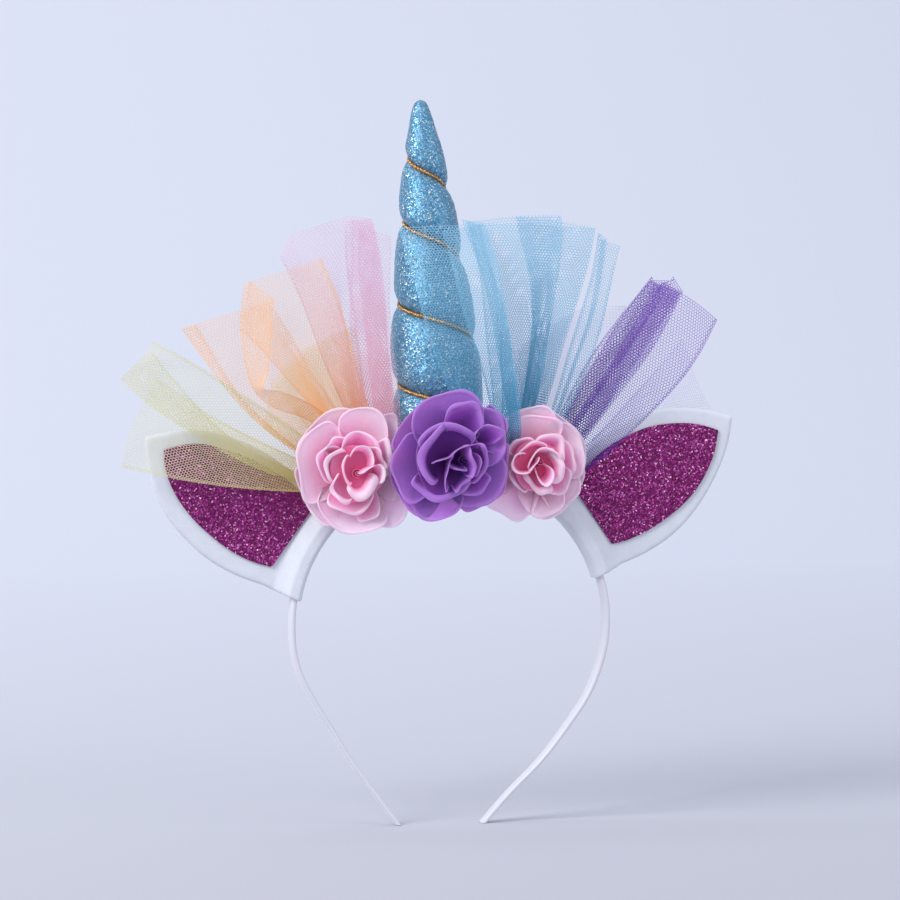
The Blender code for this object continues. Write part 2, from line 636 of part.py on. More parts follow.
def sheet_depth(sheet, spot):
    """Depth y of a sheet over a place (x, z): each lane stays behind the one before it."""
    share = math.hypot(spot.x - sheet["gather"], spot.z) / TULLE_REACH
    if sheet["lane"] == "veil":
        forward = VEIL_ROOT + (VEIL_FRONT - VEIL_ROOT) * ease(spot.z / VEIL_RISE)
        return forward + (VEIL_TOP - VEIL_FRONT) * ease((spot.z - VEIL_RISE * 2) / TULLE_REACH)
    lane = sheet["lane"]
    root = TULLE_FIRST_LANE + TULLE_LANE * lane
    return root + (LANE_SPREAD[lane] * TULLE_REACH - root) * share


def make_sheet(sheet, group, look):
    """A gathered sheet: narrow on the band, fanned and pleated at its free edge."""
    corners = sheet["edge"]
    root_first, root_last = sheet["root"]

    def surface(u, v):
        place_on = u * (len(corners) - 1)
        index = min(int(place_on), len(corners) - 2)
        share = place_on - index
        angle = math.radians(corners[index][0] + (corners[index + 1][0] - corners[index][0]) * share)
        reach = TULLE_REACH * (corners[index][1] + (corners[index + 1][1] - corners[index][1]) * share)
        x = root_first + (root_last - root_first) * u
        root = Vector((x, 0.0, band_top(x) + CLEARANCE + TULLE_WALL / 4))
        if sheet["lane"] == "veil":
            root.z -= BAND_THICKNESS
        far = Vector((sheet["gather"] + reach * math.sin(angle), 0.0, reach * math.cos(angle)))
        spot = root.lerp(far, v)
        spot.z += sheet["bow"] * TULLE_REACH * 4 * v * (1.0 - v) * u * u
        pleat = TULLE_PLEAT * math.sin(2 * math.pi * sheet["pleats"] * u) * ease(v * 1.3)
        spot.y = sheet_depth(sheet, spot) + pleat
        return spot

    columns = max(4 * sheet["pleats"], 6)
    rows = VEIL_ROWS if sheet["lane"] == "veil" else TULLE_ROWS
    obj = grid_solid(sheet["name"], columns, rows, surface, TULLE_WALL)
    smooth_shade(obj, 60.0)
    place(obj, group, look)


def main():
    clear_scene()
    parts = new_collection("unicorn_horn_headband")
    make_band(parts)
    make_ear(LEFT_EAR, "left", parts)
    make_ear(RIGHT_EAR, "right", parts)
    make_horn(parts)
    for rose in (LEFT_ROSE, MIDDLE_ROSE, RIGHT_ROSE):
        make_rose(rose, parts)
    for sheet in SHEETS:
        make_sheet(sheet, parts, material(sheet["name"] + "_net", sheet["colour"], 0.60))


main()
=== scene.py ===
# %% [markdown]
# # A unicorn headband in felt, cloth and tulle
# The real thing is a springy band wrapped in satin. A padded horn stands on its top, two felt ears
# are folded round its sides, three cloth roses hide the glue, and six colours of tulle fan out
# behind them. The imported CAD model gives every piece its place. This lesson gives each one its
# finish: net that can be seen through, petals thin enough to curl, and glitter that catches the light.

import math

import bpy
import numpy as np
from mathutils import Matrix, Vector


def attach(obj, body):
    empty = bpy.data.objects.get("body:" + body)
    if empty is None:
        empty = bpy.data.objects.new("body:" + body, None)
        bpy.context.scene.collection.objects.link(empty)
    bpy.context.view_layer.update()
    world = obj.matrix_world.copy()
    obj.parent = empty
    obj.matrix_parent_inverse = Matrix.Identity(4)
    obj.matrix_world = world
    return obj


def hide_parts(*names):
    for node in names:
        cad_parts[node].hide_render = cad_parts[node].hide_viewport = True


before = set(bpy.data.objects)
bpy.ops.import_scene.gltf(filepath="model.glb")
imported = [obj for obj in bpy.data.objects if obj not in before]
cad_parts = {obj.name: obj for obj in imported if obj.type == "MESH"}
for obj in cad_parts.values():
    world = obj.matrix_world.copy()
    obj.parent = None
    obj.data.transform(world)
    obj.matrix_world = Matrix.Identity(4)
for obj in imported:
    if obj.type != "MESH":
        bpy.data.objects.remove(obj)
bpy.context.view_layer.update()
body = "root"
print(len(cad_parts), "pieces in the packed model")


# %% [markdown]
# ## Small tools
# Most pieces below are soft, so they are shaped by formulas rather than by hand. A formula gives the
# points, and one helper turns them into a mesh. Smooth steps and smooth tables keep every outline
# round without long lists of numbers.

# %% Smooth steps and smooth tables
def ease(share):
    """A smooth step from 0 to 1."""
    share = np.clip(share, 0.0, 1.0)
    return share * share * (3.0 - 2.0 * share)


def smooth_table(rows, at):
    """A smooth line through a table of (place, value), read at many places."""
    places, values = np.array(rows, float).T
    slopes = np.gradient(values, places)
    index = np.clip(np.searchsorted(places, at) - 1, 0, len(places) - 2)
    span = places[index + 1] - places[index]
    part = np.clip((at - places[index]) / span, 0.0, 1.0)
    square, cube = part ** 2, part ** 3
    return ((2 * cube - 3 * square + 1) * values[index] + (cube - 2 * square + part) * span * slopes[index]
            + (3 * square - 2 * cube) * values[index + 1] + (cube - square) * span * slopes[index + 1])


print("a smooth step half way:", ease(0.5))


# %% A mesh from points and faces
def mesh_piece(name, points, faces, uvs=None):
    """A mesh object from arrays: points (n, 3), faces (n, 4) and one uv for each point."""
    mesh = bpy.data.meshes.new(name)
    mesh.vertices.add(len(points))
    mesh.vertices.foreach_set("co", np.asarray(points, np.float32).ravel())
    mesh.loops.add(faces.size)
    mesh.loops.foreach_set("vertex_index", faces.ravel().astype(np.int32))
    mesh.polygons.add(len(faces))
    mesh.polygons.foreach_set("loop_start", np.arange(0, faces.size, faces.shape[1], dtype=np.int32))
    mesh.update(calc_edges=True)
    if uvs is not None:
        layer = mesh.uv_layers.new(name="UVMap")
        layer.data.foreach_set("uv", np.asarray(uvs, np.float32)[faces.ravel()].ravel())
    mesh.validate()
    piece = bpy.data.objects.new(name, mesh)
    bpy.context.scene.collection.objects.link(piece)
    return piece


def grid_faces(columns, rows, closed=False):
    """The quads of a grid of points stored row after row; closed joins the last column to the first."""
    across = columns if closed else columns - 1
    first = np.arange(rows - 1)[:, None] * columns + np.arange(across)[None, :]
    second = np.arange(rows - 1)[:, None] * columns + (np.arange(across)[None, :] + 1) % columns
    return np.stack([first, second, second + columns, first + columns], axis=-1).reshape(-1, 4)


print("a grid of 3 by 2 points has", len(grid_faces(3, 2)), "faces")


# %% Selecting and finishing, as by hand
def only(*pieces):
    """Select just these pieces, with the first one active."""
    bpy.ops.object.select_all(action="DESELECT")
    for piece in pieces:
        piece.select_set(True)
    bpy.context.view_layer.objects.active = pieces[0]


def finish_modifiers(piece):
    """Apply every modifier of a piece."""
    only(piece)
    for modifier in list(piece.modifiers):
        bpy.ops.object.modifier_apply(modifier=modifier.name)
    return piece


def close_ends(piece):
    """Fill the open ends of a piece, turn its faces outward and smooth it."""
    only(piece)
    bpy.ops.object.mode_set(mode="EDIT")
    bpy.ops.mesh.select_all(action="DESELECT")
    bpy.ops.mesh.select_non_manifold()
    bpy.ops.mesh.fill_holes(sides=0)
    bpy.ops.mesh.select_all(action="SELECT")
    bpy.ops.mesh.normals_make_consistent(inside=False)
    bpy.ops.object.mode_set(mode="OBJECT")
    bpy.ops.object.shade_smooth()


# %% [markdown]
# ## Finishes
# Each finish is a Principled shader with a little procedural detail. A pattern that follows cloth
# reads the piece's UV map, and the rest read Object coordinates, so nothing slides when the camera
# moves. The helper below adds a node and sets its inputs in one line.

# %% A helper for materials
def new_finish(name, colour, roughness, metallic=0.0):
    """A Principled material and its nodes, links and shader."""
    finish = bpy.data.materials.new(name)
    finish.use_nodes = True
    tree = finish.node_tree
    shader = tree.nodes["Principled BSDF"]
    shader.inputs["Base Color"].default_value = (*colour, 1.0)
    shader.inputs["Roughness"].default_value = roughness
    shader.inputs["Metallic"].default_value = metallic
    return finish, tree, shader


def add_node(tree, kind, **settings):
    """A node with attributes set by name, and inputs set by in_Name."""
    node = tree.nodes.new(kind)
    for key, value in settings.items():
        if key.startswith("in_"):
            node.inputs[key[3:].replace("_", " ")].default_value = value
        else:
            setattr(node, key, value)
    return node


def ramp_node(tree, stops):
    """A colour ramp from (place, colour) stops."""
    ramp = add_node(tree, "ShaderNodeValToRGB")
    elements = ramp.color_ramp.elements
    while len(elements) < len(stops):
        elements.new(0.5)
    for element, (place, colour) in zip(elements, stops):
        element.position = place
        element.color = (*colour, 1.0)
    return ramp


# %% Felt, satin and green plastic
def felt_finish(name, colour):
    """Felt: rough, with a matted nap that shows as soft bumps."""
    finish, tree, shader = new_finish(name, colour, 1.0)
    shader.inputs["Sheen Weight"].default_value = 0.25
    shader.inputs["Specular IOR Level"].default_value = 0.15
    place = add_node(tree, "ShaderNodeTexCoord")
    fibres = add_node(tree, "ShaderNodeTexNoise", in_Scale=1400.0, in_Detail=4.0, in_Roughness=0.7)
    clumps = add_node(tree, "ShaderNodeTexNoise", in_Scale=260.0, in_Detail=2.0)
    tree.links.new(place.outputs["Object"], fibres.inputs["Vector"])
    tree.links.new(place.outputs["Object"], clumps.inputs["Vector"])
    shade = ramp_node(tree, [(0.3, tuple(0.95 * part for part in colour)), (0.7, colour)])
    tree.links.new(clumps.outputs["Fac"], shade.inputs["Fac"])
    tree.links.new(shade.outputs["Color"], shader.inputs["Base Color"])
    bump = add_node(tree, "ShaderNodeBump", in_Strength=0.5, in_Distance=0.0003)
    tree.links.new(fibres.outputs["Fac"], bump.inputs["Height"])
    tree.links.new(bump.outputs["Normal"], shader.inputs["Normal"])
    return finish


def satin_finish():
    """Satin ribbon: pale, with a soft sheen and fine threads."""
    finish, tree, shader = new_finish("white_satin", (0.64, 0.64, 0.70), 0.38)
    shader.inputs["Sheen Weight"].default_value = 0.3
    place = add_node(tree, "ShaderNodeTexCoord")
    threads = add_node(tree, "ShaderNodeTexWave", in_Scale=700.0, in_Distortion=2.0, bands_direction="Y")
    tree.links.new(place.outputs["Object"], threads.inputs["Vector"])
    bump = add_node(tree, "ShaderNodeBump", in_Strength=0.12, in_Distance=0.0002)
    tree.links.new(threads.outputs["Fac"], bump.inputs["Height"])
    tree.links.new(bump.outputs["Normal"], shader.inputs["Normal"])
    return finish


white_felt = felt_finish("white_felt", (0.66, 0.69, 0.76))
white_satin = satin_finish()
leaf_green, _, _ = new_finish("leaf_green", (0.16, 0.20, 0.08), 0.6)
print("felt, satin and green are ready")


# %% Glitter: every flake has its own tilt and its own colour
def glitter_finish(name, stops, flake, tilt, metallic, roughness):
    """Flakes from Voronoi cells: a random colour from the stops, and a random tilt of the surface."""
    finish, tree, shader = new_finish(name, stops[0][1], roughness, metallic)
    place = add_node(tree, "ShaderNodeTexCoord")
    cells = add_node(tree, "ShaderNodeTexVoronoi", in_Scale=1.0 / flake)
    tree.links.new(place.outputs["Object"], cells.inputs["Vector"])
    parts = add_node(tree, "ShaderNodeSeparateColor")
    tree.links.new(cells.outputs["Color"], parts.inputs["Color"])
    shade = ramp_node(tree, stops)
    shade.color_ramp.interpolation = "LINEAR"
    tree.links.new(parts.outputs["Red"], shade.inputs["Fac"])
    tree.links.new(shade.outputs["Color"], shader.inputs["Base Color"])
    centred = add_node(tree, "ShaderNodeVectorMath", operation="SUBTRACT")
    centred.inputs[1].default_value = (0.5, 0.5, 0.5)
    tree.links.new(cells.outputs["Color"], centred.inputs[0])
    scaled = add_node(tree, "ShaderNodeVectorMath", operation="SCALE", in_Scale=tilt)
    tree.links.new(centred.outputs[0], scaled.inputs[0])
    surface = add_node(tree, "ShaderNodeNewGeometry")
    tilted = add_node(tree, "ShaderNodeVectorMath", operation="ADD")
    tree.links.new(surface.outputs["Normal"], tilted.inputs[0])
    tree.links.new(scaled.outputs[0], tilted.inputs[1])
    level = add_node(tree, "ShaderNodeVectorMath", operation="NORMALIZE")
    tree.links.new(tilted.outputs[0], level.inputs[0])
    tree.links.new(level.outputs[0], shader.inputs["Normal"])
    return finish


# the last two stops, near-white and pale gold flakes, are painted glints scattered at random among the blue flakes'
# own colours
blue_glitter = glitter_finish(
    "blue_glitter",
    [(0.0, (0.040, 0.160, 0.300)), (0.50, (0.085, 0.270, 0.440)), (0.82, (0.15, 0.36, 0.53)),
     (0.93, (0.34, 0.52, 0.62)), (0.975, (0.85, 0.78, 0.58)), (1.0, (1.0, 0.97, 0.90))],
    flake=0.00038, tilt=0.62, metallic=0.48, roughness=0.32)
# the last stop, pale pink flakes, is painted glints scattered at random among the magenta flakes' own colours
magenta_glitter = glitter_finish(
    "magenta_glitter",
    [(0.0, (0.070, 0.000, 0.038)), (0.55, (0.180, 0.004, 0.105)), (0.85, (0.34, 0.02, 0.23)),
     (0.96, (0.60, 0.14, 0.46)), (1.0, (1.0, 0.60, 0.85))],
    flake=0.00050, tilt=0.9, metallic=0.55, roughness=0.35)
print("glitter flakes are 0.4 to 0.5 mm across")


# %% [markdown]
# ## The band
# The real band is a thin springy bar, pushed into a tube of white satin. Its cross-section is a
# small rounded bar, so it starts as one flat rectangle with rounded corners. Spin sweeps that round
# half a circle to make the arch, and repeated extrusion carries both ends down into the legs, which
# bend inward and get narrower towards the tips.

# %% Sweep the arch and extrude the legs
half_span, arch_rise, leg_drop = 0.0620, 0.0590, 0.0785
band_width, tip_width, band_thickness = 0.0080, 0.0062, 0.0022
corner_share, arch_steps, leg_steps = 0.42, 64, 26
widest_z = band_thickness / 2 - arch_rise
floor_z = widest_z - leg_drop
left_leg = [(0.0, 1.0), (0.11, 0.995), (0.24, 0.955), (0.38, 0.865), (0.52, 0.755), (0.70, 0.615),
            (0.86, 0.465), (1.0, 0.335)]
right_leg = [(0.0, 1.0), (0.11, 0.990), (0.24, 0.950), (0.38, 0.875), (0.52, 0.755), (0.70, 0.575),
             (0.86, 0.370), (1.0, 0.210)]

bpy.ops.object.select_all(action="DESELECT")
bpy.ops.mesh.primitive_plane_add(size=1.0, location=(half_span, 0.0, 0.0))
band = bpy.context.object
band.name = "satin_band"
bpy.ops.object.mode_set(mode="EDIT")
bpy.ops.transform.resize(value=(band_thickness, band_width, 1.0), center_override=(half_span, 0.0, 0.0))
bpy.ops.mesh.bevel(offset=band_thickness * corner_share, segments=3, affect="VERTICES")
bpy.ops.mesh.spin(steps=arch_steps, angle=math.pi, center=(0.0, 0.0, 0.0), axis=(0.0, 1.0, 0.0))
bpy.ops.mesh.select_all(action="SELECT")
bpy.ops.transform.resize(value=(1.0, 1.0, arch_rise / half_span), center_override=(0.0, 0.0, 0.0))
bpy.ops.transform.translate(value=(0.0, 0.0, widest_z))
bpy.ops.object.mode_set(mode="OBJECT")
bpy.ops.object.transform_apply(location=True, rotation=True, scale=True)
print("arch:", len(band.data.vertices), "points, z from",
      round(min(v.co.z for v in band.data.vertices), 4), "to", round(max(v.co.z for v in band.data.vertices), 4))


# %% Extrude the legs step by step
def select_end(piece, side, height):
    """In edit mode, select the end ring near a height on one side."""
    only(piece)
    bpy.ops.object.mode_set(mode="EDIT")
    bpy.ops.mesh.select_mode(type="VERT")
    bpy.ops.mesh.select_all(action="DESELECT")
    bpy.ops.object.mode_set(mode="OBJECT")
    reached = [v for v in piece.data.vertices if v.co.x * side > 0 and abs(v.co.z - height) < 1e-5]
    for vertex in reached:
        vertex.select = True
    bpy.ops.object.mode_set(mode="EDIT")
    return len(reached)


for side, table in ((-1, left_leg), (1, right_leg)):
    shares = np.linspace(0.0, 1.0, leg_steps + 1)
    reach = half_span * smooth_table(table, shares)
    height = widest_z - leg_drop * shares
    width = band_width + (tip_width - band_width) * ease(shares)
    print("leg", side, "starts from", select_end(band, side, widest_z), "points")
    for step in range(1, leg_steps + 1):
        bpy.ops.mesh.extrude_region_move(TRANSFORM_OT_translate={
            "value": (side * (reach[step] - reach[step - 1]), 0.0, height[step] - height[step - 1])})
        bpy.ops.transform.resize(value=(1.0, width[step] / width[step - 1], 1.0),
                                 center_override=(side * reach[step], 0.0, height[step]))
    bpy.ops.object.mode_set(mode="OBJECT")

# %% Finish the band
only(band)
bpy.ops.object.mode_set(mode="EDIT")
bpy.ops.mesh.select_all(action="SELECT")
bpy.ops.mesh.remove_doubles(threshold=0.00001)
bpy.ops.mesh.normals_make_consistent(inside=False)
bpy.ops.object.mode_set(mode="OBJECT")
bpy.ops.object.shade_smooth_by_angle(angle=math.radians(40))
band.data.materials.append(white_satin)
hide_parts("headband")
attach(band, body)
print("band:", len(band.data.polygons), "faces")


# %% [markdown]
# ## The ears
# Each ear is a leaf of white felt, folded round the band and glued to itself, with a smaller leaf of
# magenta glitter sheet on its front. The CAD leaves could be softened with modifiers, but the outline
# is what the eye goes to first, so it was measured in the photograph. A line of sight from the camera
# carries each point to the depth where the leaf stands. A filled circle, with its points moved to the
# outline, is extruded once and gives the leaf.

# %% From the picture to the place behind it
azimuth, elevation, distance = math.radians(-11.0), math.radians(2.0), 1.3
picture_width, picture_squares = 0.3483, 900
aim = Vector((0.0, 0.0, 0.0085))
sight_line = Vector((-math.sin(azimuth) * math.cos(elevation), math.cos(azimuth) * math.cos(elevation),
                  -math.sin(elevation)))
sight_right = sight_line.cross(Vector((0.0, 0.0, 1.0))).normalized()
sight_up = sight_right.cross(sight_line)
eye = aim - distance * sight_line


def seen_at(across, down, depth):
    """The place at a depth that shows at a point of the picture."""
    middle, square_size = picture_squares / 2, picture_width / picture_squares
    sight = aim + sight_right * (across - middle) * square_size + sight_up * (middle - down) * square_size - eye
    return eye + sight * ((depth - eye.y) / sight.y)


print("the picture's middle shows", [round(value, 4) for value in seen_at(450, 450, 0.0)])

# %% The outlines of the leaves, in squares of the picture
felt_arcs = {
    "left": [[(144.5, 437), (146, 455), (150, 475), (158, 500), (169, 520), (187, 541), (210, 561), (235, 575),
              (262, 585), (280, 591), (297, 601)],
             [(297, 601), (306, 565), (325, 521)], [(325, 521), (315, 497), (303, 480)],
             [(303, 480), (290, 469), (270, 455), (250, 444), (230, 436), (212, 431.5), (195, 430), (170, 432),
              (144.5, 437)]],
    "right": [[(733, 416), (731.5, 430), (726, 453), (717, 475), (705, 497), (690, 518), (672, 536), (650, 551),
               (625, 563), (604, 571), (593, 578)],
              [(593, 578), (577, 541), (556, 512)], [(556, 512), (568, 480), (580, 460)],
              [(580, 460), (592, 447), (605, 436), (620, 425.5), (635, 416.5), (650, 410.5), (665, 408.3),
               (683, 407.8), (703, 409.3), (733, 416)]]}
glitter_arcs = {
    "left": [[(164, 449.5), (164.5, 462), (167, 475), (173, 490), (182, 505), (195, 521), (210, 535), (225, 547),
              (240, 556), (255, 562.5), (272, 567)], [(272, 567), (313, 508)],
             [(313, 508), (304, 496), (295, 486.5), (284, 477.5), (270, 468.5), (255, 460.5), (240, 454),
              (225, 449), (210, 445), (195, 443.5), (180, 445.5), (164, 449.5)]],
    "right": [[(718.5, 430), (717, 440), (714.5, 453), (710, 465), (703, 479), (693, 494), (680, 507.5),
               (665, 519.5), (650, 529.5), (635, 537), (625, 541), (612, 544)], [(612, 544), (573, 486)],
              [(573, 486), (577, 475), (590, 463), (600, 453.5), (612, 444.5), (625, 437), (640, 430),
               (655, 425.5), (670, 423.5), (685, 423), (700, 424.5), (718.5, 430)]]}
felt_front, felt_back = -0.0015, 0.0015
glitter_front, glitter_back = -0.0026, -0.0018
arc_steps = 22


def smooth_arc(points):
    """Evenly spaced points on a smooth line through a few points, without the last one."""
    points = np.array(points, float)
    along = np.concatenate([[0.0], np.cumsum(np.linalg.norm(np.diff(points, axis=0), axis=1))])
    at = np.linspace(0.0, along[-1], arc_steps, endpoint=False)
    return np.stack([smooth_table(np.stack([along, column], axis=1), at) for column in points.T], axis=1)


def leaf_plate(name, arcs, front, back):
    """A flat leaf from its outline, with its thickness from front to back."""
    outline = np.concatenate([smooth_arc(arc) for arc in arcs])
    bpy.ops.object.select_all(action="DESELECT")
    bpy.ops.mesh.primitive_circle_add(vertices=len(outline), radius=0.02, fill_type="NGON")
    leaf = bpy.context.object
    leaf.name = name
    for corner, (across, down) in zip(leaf.data.vertices, outline):
        corner.co = seen_at(across, down, front)
    bpy.ops.object.mode_set(mode="EDIT")
    bpy.ops.mesh.select_all(action="SELECT")
    bpy.ops.mesh.extrude_region_move(TRANSFORM_OT_translate={"value": (0.0, back - front, 0.0)})
    bpy.ops.mesh.select_all(action="SELECT")
    bpy.ops.mesh.normals_make_consistent(inside=False)
    bpy.ops.object.mode_set(mode="OBJECT")
    return leaf


# %% [markdown]
# The part of the felt that goes round the band is taken from the CAD model: a copy is cut away from
# its leaf, and its corner is trimmed along the felt's edge. The two are joined, a Remesh modifier
# makes one skin of them, and a Smooth modifier rounds the edges over, because felt has none.

# %% Cut the sleeve free
sleeve_cuts = {"left": [((266, 590), (300, 515), (330, 600)), ((262, 585), (298, 601.5), (300, 500))],
               "right": [((628, 570), (583, 492), (560, 560)), ((590, 579.5), (640, 556), (590, 500))]}
felt_voxel, felt_rounds = 0.00080, 4
glitter_round = 0.00022


def cut(piece, first, second, keep):
    """Cut a piece along a line of the picture and keep the side where a third point lies."""
    start, end, kept = (seen_at(*point, 0.0) for point in (first, second, keep))
    normal = (end - start).cross(Vector((0.0, 1.0, 0.0))).normalized()
    if normal.dot(kept - start) < 0.0:
        normal = -normal
    only(piece)
    bpy.ops.object.mode_set(mode="EDIT")
    bpy.ops.mesh.select_all(action="SELECT")
    bpy.ops.mesh.remove_doubles(threshold=0.000001)
    bpy.ops.mesh.bisect(plane_co=start, plane_no=normal, use_fill=True, clear_inner=True)
    bpy.ops.object.mode_set(mode="OBJECT")


print("two cuts free each sleeve:", sleeve_cuts)


# %% One skin for the sleeve and the leaf
def soft_felt(side):
    """The felt of one ear: the sleeve from the CAD model with a leaf cut to the measured outline."""
    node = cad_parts[side + "_ear_felt"]
    sleeve = node.copy()
    sleeve.data = node.data.copy()
    bpy.context.scene.collection.objects.link(sleeve)
    for first, second, keep in sleeve_cuts[side]:
        cut(sleeve, first, second, keep)
    felt = leaf_plate(side + "_soft_felt", felt_arcs[side], felt_front, felt_back)
    only(felt, sleeve)
    bpy.ops.object.join()
    fine = felt.modifiers.new("fine", "REMESH")
    fine.mode = "VOXEL"
    fine.voxel_size = felt_voxel
    fine.use_smooth_shade = True
    round_over = felt.modifiers.new("round_over", "SMOOTH")
    round_over.factor = 0.5
    round_over.iterations = felt_rounds
    return finish_modifiers(felt)


def glitter_leaf(side):
    """The smaller leaf of glitter sheet, with a narrow round rim."""
    leaf = leaf_plate(side + "_glitter_leaf", glitter_arcs[side], glitter_front, glitter_back)
    rim = leaf.modifiers.new("rim", "BEVEL")
    rim.width = glitter_round
    rim.segments = 2
    rim.limit_method = "ANGLE"
    return finish_modifiers(leaf)


# %% Make both ears
for side in ("left", "right"):
    for piece, finish, slot, node in (
            (soft_felt(side), white_felt, "white_felt", side + "_ear_felt"),
            (glitter_leaf(side), magenta_glitter, "magenta_glitter", side + "_ear_glitter")):
        piece.data.materials.clear()
        piece.data.materials.append(finish)
        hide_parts(node)
        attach(piece, body)
        print(piece.name, len(piece.data.polygons), "faces")


# %% [markdown]
# ## The horn
# The horn is a cone of glitter cloth stuffed with fibre. A cord wound round it pulls the cloth in, so
# it swells into soft rolls between the turns, and the cloth puckers next to the cord. A grid of points
# round the horn's axis can follow all that: the radius comes from the outline, less a groove where
# the cord runs, with small puckers that fade away from it.

# %% The horn's outline and the cord's path
# Places along the horn are shares of its length from the tip; radii are shares of the widest one.
horn_length, horn_radius = 0.1420, 0.0166
horn_outline = [(0.000, 0.00), (0.004, 0.09), (0.012, 0.15), (0.030, 0.21), (0.070, 0.30), (0.140, 0.41),
                (0.205, 0.50), (0.285, 0.60), (0.355, 0.68), (0.460, 0.79), (0.585, 0.92), (0.680, 0.99),
                (0.780, 1.00), (0.870, 0.98), (0.915, 0.86), (0.955, 0.66), (0.985, 0.40), (1.000, 0.24)]
cord_start, cord_end = 0.125, 0.920
cord_winds = [(0.125, -0.22), (0.163, 0.00), (0.338, 1.00), (0.558, 2.00), (0.777, 3.00), (0.920, 3.65)]
horn_place = (Matrix.Translation((-0.0028, 0.0020, band_thickness + 0.0003))
              @ Matrix.Rotation(math.radians(-2.9), 4, "Y") @ Matrix.Rotation(math.radians(-3.0), 4, "X"))


groove_depth, groove_width = 0.0026, 0.085
pucker_height, pucker_width, puckers = 0.00016, 0.16, 23
swell_height, swell_width = 0.0009, 0.22
fade_in, fade_out = 0.050, 0.035


def cord_turn(along):
    """Direction of the cord round the horn, in turns, at a share of the length from the tip."""
    return 0.5 + smooth_table(cord_winds, along)


def puffed_radius(along, angle):
    """Radius of the stuffed horn: its outline, swollen between the turns of the cord."""
    radius = horn_radius * smooth_table(horn_outline, along)
    turns = cord_turn(np.clip(along, cord_start, cord_end)) - angle / (2 * math.pi)
    away = np.abs(turns - np.round(turns))
    held = ease((along - cord_start) / fade_in + 1.0) * ease((cord_end - along) / fade_out + 1.0)
    held = held * np.minimum(1.0, 2.0 * radius / horn_radius)
    groove = groove_depth * np.exp(-(away / groove_width) ** 1.4)
    pucker = pucker_height * np.exp(-(away / pucker_width) ** 2) * np.sin(angle * puckers + 5 * np.sin(along * 40))
    swell = swell_height * (1.0 - np.exp(-(away / swell_width) ** 2))
    return radius + held * (pucker + swell - groove)


def on_horn(along, angle, radius):
    """Points in the row frame from places on the horn."""
    local = np.stack([radius * np.cos(angle), radius * np.sin(angle), horn_length * (1.0 - along)], axis=-1)
    matrix = np.array(horn_place)
    return local @ matrix[:3, :3].T + matrix[:3, 3]


print("the horn leans from", [round(value, 4) for value in horn_place.translation])

# %% Make the padded horn
horn_columns, horn_rows = 140, 300
ripple_height = 0.00010
angle, along = np.meshgrid(np.linspace(0, 2 * math.pi, horn_columns, endpoint=False),
                           np.linspace(0.0005, 1.0, horn_rows))
surface = on_horn(along, angle, puffed_radius(along, angle))
from_axis = surface - surface.mean(axis=1, keepdims=True)
from_axis /= np.maximum(np.linalg.norm(from_axis, axis=2, keepdims=True), 1e-6)
ripple = ripple_height * np.sin(angle * 9 + along * 70) * np.sin(along * 150 + 3 * np.sin(angle * 2))
surface += ripple[..., None] * from_axis
horn = mesh_piece("padded_horn", surface.reshape(-1, 3), grid_faces(horn_columns, horn_rows, closed=True))
close_ends(horn)
horn.data.materials.append(blue_glitter)
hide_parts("horn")
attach(horn, body)
print("horn:", len(horn.data.polygons), "faces")


# %% [markdown]
# ## The cord on the horn
# The cord is metallic yarn, three strands twisted together. Each strand is a thin tube that runs
# round the cord's own path, a third of a turn from the next.

# %% A tube along a path
def strand_tube(path, radius, sides=6):
    """Points and faces of a tube along a path."""
    along_path = np.gradient(path, axis=0)
    along_path /= np.linalg.norm(along_path, axis=1, keepdims=True)
    helper = np.tile([[0.0, 0.0, 1.0]], (len(path), 1))
    first = np.cross(along_path, helper)
    first /= np.linalg.norm(first, axis=1, keepdims=True)
    second = np.cross(along_path, first)
    turn = np.linspace(0, 2 * math.pi, sides, endpoint=False)
    ring = (first[:, None] * np.cos(turn)[None, :, None] + second[:, None] * np.sin(turn)[None, :, None]) * radius
    return (path[:, None] + ring).reshape(-1, 3), grid_faces(sides, len(path), closed=True)


# %% Gold for the cord
def gold_finish():
    """Metallic yarn: gold, mottled at random with dark brown spots that are painted shade of the cord's depths."""
    finish, tree, shader = new_finish("gold_cord", (0.50, 0.27, 0.10), 0.30, 0.85)
    place = add_node(tree, "ShaderNodeTexCoord")
    grain = add_node(tree, "ShaderNodeTexNoise", in_Scale=2500.0, in_Detail=2.0)
    tree.links.new(place.outputs["Object"], grain.inputs["Vector"])
    # dark brown spots: painted shade of the twisted cord's depths, scattered at random by the noise
    shade = ramp_node(tree, [(0.35, (0.26, 0.11, 0.04)), (0.55, (0.55, 0.30, 0.12)), (0.75, (0.95, 0.70, 0.38))])
    tree.links.new(grain.outputs["Fac"], shade.inputs["Fac"])
    tree.links.new(shade.outputs["Color"], shader.inputs["Base Color"])
    return finish


gold = gold_finish()
print("gold is ready")

# %% The path of the cord
cord_width, strand_share, twist_length = 0.0016, 0.27, 0.0026
along = np.linspace(cord_start, cord_end, 1400)
angle = 2 * math.pi * cord_turn(along)
middle = on_horn(along, angle, puffed_radius(along, angle) + cord_width * 0.40)
run = np.concatenate([[0.0], np.cumsum(np.linalg.norm(np.diff(middle, axis=0), axis=1))])
outward = middle - on_horn(along, angle, 0.0 * along)
outward /= np.linalg.norm(outward, axis=1, keepdims=True)
forward = np.gradient(middle, axis=0)
forward /= np.linalg.norm(forward, axis=1, keepdims=True)
sideways = np.cross(forward, outward)
print("the cord is %.0f mm long" % (run[-1] * 1000))

